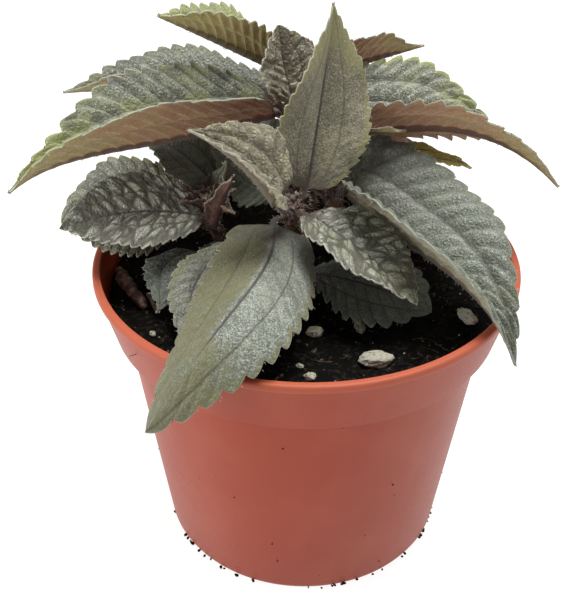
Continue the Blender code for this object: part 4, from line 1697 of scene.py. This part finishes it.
@dataclass
class Rosette:
    """The youngest leaves and the cobweb of long hairs at a shoot's tip."""

    stem: str
    leaflets: int = 5
    shortest: float = 5.0
    longest: float = 9.0
    strands: int = 70
    drop: float = 2.5  # how far below the shoot's tip the lowest leaflet grows
    golden_turn: float = 137.5
    lowest_lean: float = 62.0
    highest_lean: float = 18.0
    strand_lengths: tuple[float, float] = (2.0, 4.5)
    strand_radius: float = 0.08

    def build(self, stems: dict[str, Stem], finishes: Finishes) -> None:
        """Makes the leaflets in a spiral round the tip, and the hairs between them.

        Args:
            stems: The stems by name.
            finishes: The shared materials.
        """
        draw = random.Random(self.stem)
        stem = stems[self.stem]
        top = Vector(stem.top)
        start = draw.uniform(0, 360)
        for number in range(self.leaflets):
            share = number / max(1, self.leaflets - 1)
            angle = math.radians(start + self.golden_turn * number)
            lean = math.radians(self.lowest_lean - (self.lowest_lean - self.highest_lean) * share)
            out = math.sin(lean)
            way = Vector((math.cos(angle) * out, math.sin(angle) * out, math.cos(lean)))
            base = top + Vector((way.x, way.y, 0)) * 1.8 - Vector((0, 0, self.drop * (1 - share)))
            length = self.longest + (self.shortest - self.longest) * share
            leaflet = Leaf(
                f"leaflet_{self.stem}_{number + 1}", self.stem, stem.top[2] - self.drop, tuple(base),
                tuple(base + way * length), length * 0.5, arch=length * 0.12, fold=48, teeth=6,
                notch=0.5, quilt=0.3, blister=0.25, cell=1.1, flush_and_shade=0.9, skin=Skin.YOUNG,
                under=Under.MAROON, hairs=60, node=False, petiole_radius=0.6,
            )
            leaflet.build(stems, finishes)
        cobweb = bmesh.new()
        for _ in range(self.strands):
            way = Vector((draw.gauss(0, 1), draw.gauss(0, 1), draw.gauss(0.5, 0.6))).normalized()
            root = top + way * draw.uniform(0.5, 3.0) - Vector((0, 0, draw.uniform(0, 3)))
            bend = way.orthogonal().normalized()
            bend.rotate(Quaternion(way, draw.uniform(0, math.tau)))
            length = draw.uniform(*self.strand_lengths)
            add_strand(cobweb, root, way * length, bend * draw.uniform(0.3, 1.3), self.strand_radius)
        finish_piece(cobweb, "cobweb_" + self.stem, [finishes.hair])


STEMS = (
    Stem("stem_front", (-3, 8, 74), (-4, -1, 108)),
    Stem("stem_back", (0, 22, 74), (-4, 18, 128)),
    Stem("stem_rear", (2, 38, 74), (-2, 36, 132)),
    Stem("stem_left", (-24, 12, 74), (-28, 7, 103)),
    Stem("stem_right", (10, 16, 74), (8, 15, 105)),
)

GRAINS = (
    Grain("grain_front", (17.5, -40.6), (8.5, 5.0, 3.6), 8),
    Grain("grain_middle", (2, -27.8), (4.6, 3.4, 2.6), 20),
    Grain("grain_shaded", (14, -25.5), (2.8, 5.6, 2.6), 10),
    Grain("grain_small", (0.2, -48.1), (2.6, 3.0, 2.0), 70),
    Grain("grain_pebble", (-2.2, -42.7), (1.9, 1.7, 1.5), 0),
    Grain("grain_speckled", (43, -23), (3.8, 7.5, 2.4), 20),
    Grain("grain_left", (-41, -29), (1.6, 2.2, 1.4), 30),
    Grain("grain_rear", (18, 47), (5.5, 4.0, 2.8), 40),
    Grain("grain_rear_left", (-30, 38), (4.0, 5.5, 2.6), -20),
)

STICKS = (
    Stick("dry_stub", ((-54, 3), (-51.5, -4), (-47.5, -11), (-44, -17.5)), (1.2, 2.1, 1.9, 1.2)),
    Stick("dry_twig", ((-44.6, -9.0), (-42.8, -13.0), (-40.6, -18.0)), (0.5, 0.6, 0.8)),
)

ROSETTES = (
    Rosette("stem_front", shortest=4.0, longest=7.0, strands=90),
    Rosette("stem_left", leaflets=9, longest=13.0, strands=170),
    Rosette("stem_back"),
    Rosette("stem_rear"),
    Rosette("stem_right"),
)

LEAVES = (
    Leaf("leaf_front_upright", "stem_front", 107, (0, 2, 111), (6.8, 14, 159), 30, roll=36, arch=-2,
         sweep=0.8, fold=28, twist=48, widest=0.38, point=0.95, teeth=15, notch=1.2, quilt=0.2,
         tint=(0.15, 0.25, 0.9, 0.9), flush_and_shade=0.4, skin=Skin.OLIVE, step=0.5),
    Leaf("leaf_front_hanging", "stem_front", 104, (-9, -7, 105), (-40, -62, 78.5), 38, roll=-15,
         twist=30, arch=15, peak=0.6, sweep=11.5, fold=-19, widest=0.42, point=0.62, teeth=13,
         notch=2.6, quilt=0.45, tint=(0.1, 0.8, 1.0, 0.9), flush_and_shade=0.25, base_blunt=0.15,
         halves=(0.86, 1.0), lobes=(1.0, 5.0), barb=0.0, skin=Skin.SILVER, step=0.5),
    Leaf("leaf_front_upper_left", "stem_front", 108, (-8, -13, 114.5), (-30, -16, 137.5), 28, roll=-14,
         arch=2, fold=40, widest=0.33, teeth=8, notch=1.2, quilt=1.6, blister=0.7, cell=2.4,
         tint=(0.3, 0.5, 0.6, 0.5), flush_and_shade=0.15, cell_growth=0.5, skin=Skin.BRONZE, under=Under.PALE,
         step=0.45),
    Leaf("leaf_front_lower_right", "stem_front", 105, (0, -7, 108), (28, -32, 96), 26, roll=-5, arch=2,
         fold=20, point=0.85, teeth=14, notch=0.9, quilt=0.4, blister=1.3, cell=2.4,
         tint=(0.25, 0.45, 0.5, 0.5), flush_and_shade=0.2, cell_growth=1.0, skin=Skin.BLISTERED, step=0.4),
    Leaf("leaf_front_low_right", "stem_front", 92, (0, -8.5, 90.5), (33, -24.5, 88.5), 31, roll=8,
         arch=2, fold=8, widest=0.58, point=0.8, teeth=10, notch=2.2, skin=Skin.SHADED),
    Leaf("leaf_front_low_left", "stem_left", 89, (-30, -1, 92.5), (-40, -24, 88), 22, arch=2, fold=10,
         teeth=9, skin=Skin.SHADED),
    Leaf("leaf_front_under_left", "stem_front", 94, (-18, -5, 97), (-32, -42, 86.5), 26, roll=-10,
         arch=1, fold=10, teeth=11, notch=1.3, quilt=0.8, tint=(0.2, 0.2, 0.4, 0.6)),
    Leaf("leaf_left_main", "stem_left", 102, (-29, 1, 103), (-68, -4, 102), 29, roll=-18, arch=3,
         fold=15, point=0.85, teeth=14, notch=1.2, quilt=0.5, blister=1.2, cell=2.4,
         tint=(0.1, 0.2, 0.3, 0.4), flush_and_shade=0.12, cell_growth=1.0, skin=Skin.BLISTERED, step=0.4),
    Leaf("leaf_left_under", "stem_left", 94, (-36, 11, 97), (-70, 8, 97), 38, roll=-22, arch=4, fold=12,
         point=0.7, teeth=12, notch=2.0, quilt=0.7, tint=(0.05, 0.05, 0.2, 0.4), skin=Skin.EDGED),
    Leaf("leaf_left_rear", "stem_left", 98, (-26, 18, 103), (-46, 24, 117), 28, arch=2, fold=12,
         point=0.8, teeth=9, tint=(0.6, 0.6, 0.6, 0.6), skin=Skin.SHADED, hairs=420),
    Leaf("leaf_left_bud", "stem_left", 101, (-26, 2, 100), (-20, -3, 118), 9, fold=40, teeth=7,
         notch=0.5, quilt=0.3, blister=0.3, cell=1.2, flush_and_shade=0.8, skin=Skin.YOUNG, under=Under.MAROON),
    Leaf("leaf_left_inner", "stem_left", 102, (-25, 10, 103), (-22.5, 11, 115), 8, fold=25, teeth=6,
         notch=0.4, quilt=0.3, tint=(0.6, 0.6, 0.6, 0.6)),
    Leaf("leaf_back_long_left", "stem_back", 124, (-9, 17, 127), (-81, -2, 112), 50, roll=-2, arch=4,
         peak=0.75, fold=56, widest=0.4, point=1.4, teeth=16, notch=4.2, quilt=1.8,
         tint=(0.4, 0.3, 1.0, 0.55), flush_and_shade=0.1, halves=(1.0, 0.88), barb=0.7, skin=Skin.EDGED,
         hairs=300, step=0.55),
    Leaf("leaf_back_centre", "stem_back", 128, (-4, 16, 131), (-7.8, 20, 151), 20, arch=-1, fold=22,
         point=0.75, teeth=9, notch=1.0, quilt=0.5, blister=0.9, cell=2.2, tint=(0.2, 0.2, 0.6, 0.4),
         flush_and_shade=0.08, halves=(1.12, 1.12), skin=Skin.BRONZE, step=0.45),
    Leaf("leaf_back_right", "stem_back", 118, (5.5, 25, 117.2), (70, 5.5, 110.2), 36, roll=-54, arch=10,
         peak=0.6, fold=18, twist=20, point=1.0, teeth=14, notch=5.5, quilt=1.0,
         tint=(0.6, 0.6, 1.0, 0.9), under=Under.RED, hairs=300, halves=(1.0, 0.8), barb=1.0),
    Leaf("leaf_back_small", "stem_back", 122, (8, 16, 121.5), (27, 9, 125.5), 7, roll=-40, fold=20,
         teeth=6, notch=0.4, quilt=0.2, skin=Skin.YOUNG, under=Under.OCHRE),
    Leaf("leaf_back_low_left", "stem_back", 101, (-6.5, 20, 101), (-27, 24, 112), 30, roll=-20, arch=2,
         fold=8, point=0.8, teeth=10, tint=(0.6, 0.6, 0.6, 0.6), skin=Skin.SHADED, hairs=260),
    Leaf("leaf_rear_left", "stem_rear", 117, (-9, 37, 121), (-71, 36, 125), 29, arch=2.5, fold=52,
         teeth=16, notch=2.0, quilt=0.9, tint=(0.2, 0.2, 0.5, 0.4)),
    Leaf("leaf_rear_top_left", "stem_rear", 127, (-9, 32, 135), (-40, 22, 153), 28, roll=8, fold=50,
         point=1.0, teeth=12, notch=3.2, quilt=0.9, tint=(0.6, 0.75, 0.8, 0.9), barb=0.5,
         skin=Skin.EDGED, under=Under.OCHRE),
    Leaf("leaf_rear_centre", "stem_rear", 125, (4, 32, 133.5), (-8, 37, 143), 16, roll=40, fold=25,
         point=0.8, teeth=7, notch=1.6, under=Under.RED),
    Leaf("leaf_rear_top_right", "stem_rear", 121, (4, 50, 125), (37, 61, 130), 24, roll=-30, fold=40,
         teeth=10, notch=2.0, under=Under.RED, barb=0.9),
    Leaf("leaf_rear_right", "stem_rear", 120, (5, 42, 117), (58, 35, 112), 34.5, roll=16, arch=5,
         fold=26, teeth=12, notch=3.6, quilt=1.8, tint=(0.15, 0.15, 0.7, 1.0), flush_and_shade=0.1,
         skin=Skin.EDGED, step=0.55),
    Leaf("leaf_rear_low_left", "stem_rear", 98, (-6, 45, 99), (-36, 70, 92), 28, arch=5, fold=20,
         teeth=12, notch=1.3, skin=Skin.SHADED, step=0.9),
    Leaf("leaf_rear_low_right", "stem_rear", 99, (7, 43, 100), (40, 66, 92), 27, arch=5, fold=15,
         teeth=12, notch=1.3, skin=Skin.SHADED, step=0.9),
    Leaf("leaf_rear_middle", "stem_rear", 109, (-1, 44, 110), (3, 80, 95), 26, arch=6, fold=18,
         teeth=13, notch=2.0, skin=Skin.SILVER, step=0.9),
    Leaf("leaf_rear_back_left", "stem_rear", 114, (-9, 43, 115), (-52, 63, 104), 28, arch=5, fold=20,
         teeth=14, notch=2.2, quilt=1.2, skin=Skin.EDGED, step=0.8),
    Leaf("leaf_rear_back_right", "stem_rear", 112, (5, 44, 112.5), (46, 69, 103), 30, arch=5, fold=24,
         teeth=14, notch=2.2, quilt=1.2, skin=Skin.EDGED, step=0.8),
    # Its long dark base is a painted shadow, cast by the leaf above it.
    Leaf("leaf_right_big", "stem_right", 101, (12, 8, 107), (53, -42, 84), 46, roll=-8, arch=7,
         peak=0.7, fold=50, widest=0.32, point=1.1, teeth=13, notch=2.0, quilt=1.8,
         tint=(0.2, 0.1, 0.4, 0.4), flush_and_shade=0.7, base_blunt=0.25, lobes=(10.0, -3.0), under=Under.PALE,
         skin=Skin.SILVER, hairs=300, step=0.55),
    Leaf("leaf_right_rear", "stem_right", 102, (18, 20, 105), (48, 19, 109), 15, arch=5, fold=15,
         teeth=10, notch=0.9, tint=(0.9, 0.9, 0.9, 0.9), skin=Skin.LIME),
    Leaf("leaf_right_young", "stem_right", 100, (8, 13, 104), (23, 33, 114), 19, roll=30, arch=1,
         fold=15, teeth=9, notch=1.2, quilt=0.6, skin=Skin.SHADED, hairs=60, node=False,
         petiole_radius=0.6),
    Leaf("leaf_right_back", "stem_right", 94, (17, 22, 96), (48, 46, 92), 26, arch=5, fold=18, teeth=12,
         notch=1.2, skin=Skin.DULL, step=0.8),
)


@dataclass
class Softbox:
    """A square studio light aimed at the plant, in metres and watts."""

    name: str
    place: tuple[float, float, float]
    size: float
    power: float

    def build(self, aim: Vector) -> None:
        """Hangs the light and turns it to a point.

        Args:
            aim: The point that it faces, in metres.
        """
        data = bpy.data.lights.new(self.name, "AREA")
        data.shape = "SQUARE"
        data.size = self.size
        data.energy = self.power
        lamp = bpy.data.objects.new(self.name, data)
        lamp.location = self.place
        lamp.rotation_mode = "QUATERNION"
        lamp.rotation_quaternion = (aim - Vector(self.place)).to_track_quat("-Z", "Y")
        bpy.context.scene.collection.objects.link(lamp)


@dataclass
class Studio:
    """A white table under soft light, and the camera at the photograph's angle.

    Its places and sizes are in metres, its angles in degrees and its lamps' power in watts.
    """

    target: tuple[float, float, float] = (-0.0069, 0.0, 0.0757)
    distance: float = 0.32
    elevation: float = 33.93
    tilt: float = 0.08
    lens: float = 66.04
    sky: str = "#ffffff"
    sky_strength: float = 0.31
    table_tone: str = "#8a8a88"
    table_glow: float = 0.9
    table_half: float = 3.0
    lamps: tuple[Softbox, ...] = (
        Softbox("overhead_softbox", (0.12, 0.1, 0.95), 0.45, 11.2),
        Softbox("left_softbox", (-0.8, -0.3, 0.3), 0.5, 4.8),
        Softbox("right_softbox", (0.8, -0.2, 0.35), 0.5, 1.0),
    )

    def build(self) -> None:
        """Sets up the table, the light and the camera."""
        aim = Vector(self.target)
        for lamp in self.lamps:
            lamp.build(aim)
        self.light_sky()
        self.lay_table()
        self.set_camera(aim)
        bpy.context.scene.view_settings.view_transform = "Standard"

    def light_sky(self) -> None:
        """Gives the room an even pale light."""
        world = bpy.data.worlds.new("studio")
        world.use_nodes = True
        back = world.node_tree.nodes["Background"]
        feed(back, {"Color": linear(self.sky), "Strength": self.sky_strength})
        bpy.context.scene.world = world

    def lay_table(self) -> None:
        """Lays the white table, which glows a little like a light table, so that shadows stay faint."""
        made, _, shader = new_material("white_acrylic_table")
        feed(shader, {
            "Base Color": linear(self.table_tone), "Roughness": 0.8, "Specular IOR Level": 0.2,
            "Emission Color": linear(self.sky), "Emission Strength": self.table_glow,
        })
        bm = bmesh.new()
        bmesh.ops.create_grid(bm, x_segments=1, y_segments=1, size=self.table_half)
        mesh = bpy.data.meshes.new("table")
        bm.to_mesh(mesh)
        bm.free()
        mesh.materials.append(made)
        table = bpy.data.objects.new("table", mesh)
        bpy.context.scene.collection.objects.link(table)

    def set_camera(self, aim: Vector) -> None:
        """Places the camera at the photograph's angle.

        Args:
            aim: The point that the middle of the picture shows.
        """
        data = bpy.data.cameras.new("camera")
        data.lens = self.lens
        data.sensor_width = 36.0
        camera = bpy.data.objects.new("camera", data)
        raised = math.radians(self.elevation)
        back = Vector((0, -math.cos(raised), math.sin(raised)))
        camera.location = aim + back * self.distance
        spin = Matrix.Rotation(math.radians(self.tilt), 4, "Z")
        facing = Matrix.Rotation(math.radians(90 - self.elevation), 4, "X") @ spin
        camera.rotation_euler = facing.to_euler()
        bpy.context.scene.collection.objects.link(camera)
        bpy.context.scene.camera = camera


def main() -> None:
    """Builds every piece in order."""
    logging.basicConfig(level=logging.INFO, format="%(message)s")
    noise.seed_set(NOISE_SEED)
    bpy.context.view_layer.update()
    Studio().build()
    finishes = Finishes()
    pot = Pot()
    pot.build(finishes)
    ground = Soil(pot).build(finishes)
    for grain in GRAINS:
        grain.build(ground, finishes)
    for stick, finish in zip(STICKS, (finishes.stalk, finishes.twig)):
        stick.build(ground, finish)
    stems = {stem.name: stem for stem in STEMS}
    for stem in STEMS:
        stem.build(finishes)
    for leaf in LEAVES:
        leaf.build(stems, finishes)
    for rosette in ROSETTES:
        rosette.build(stems, finishes)
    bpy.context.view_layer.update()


if __name__ == "__main__":
    main()
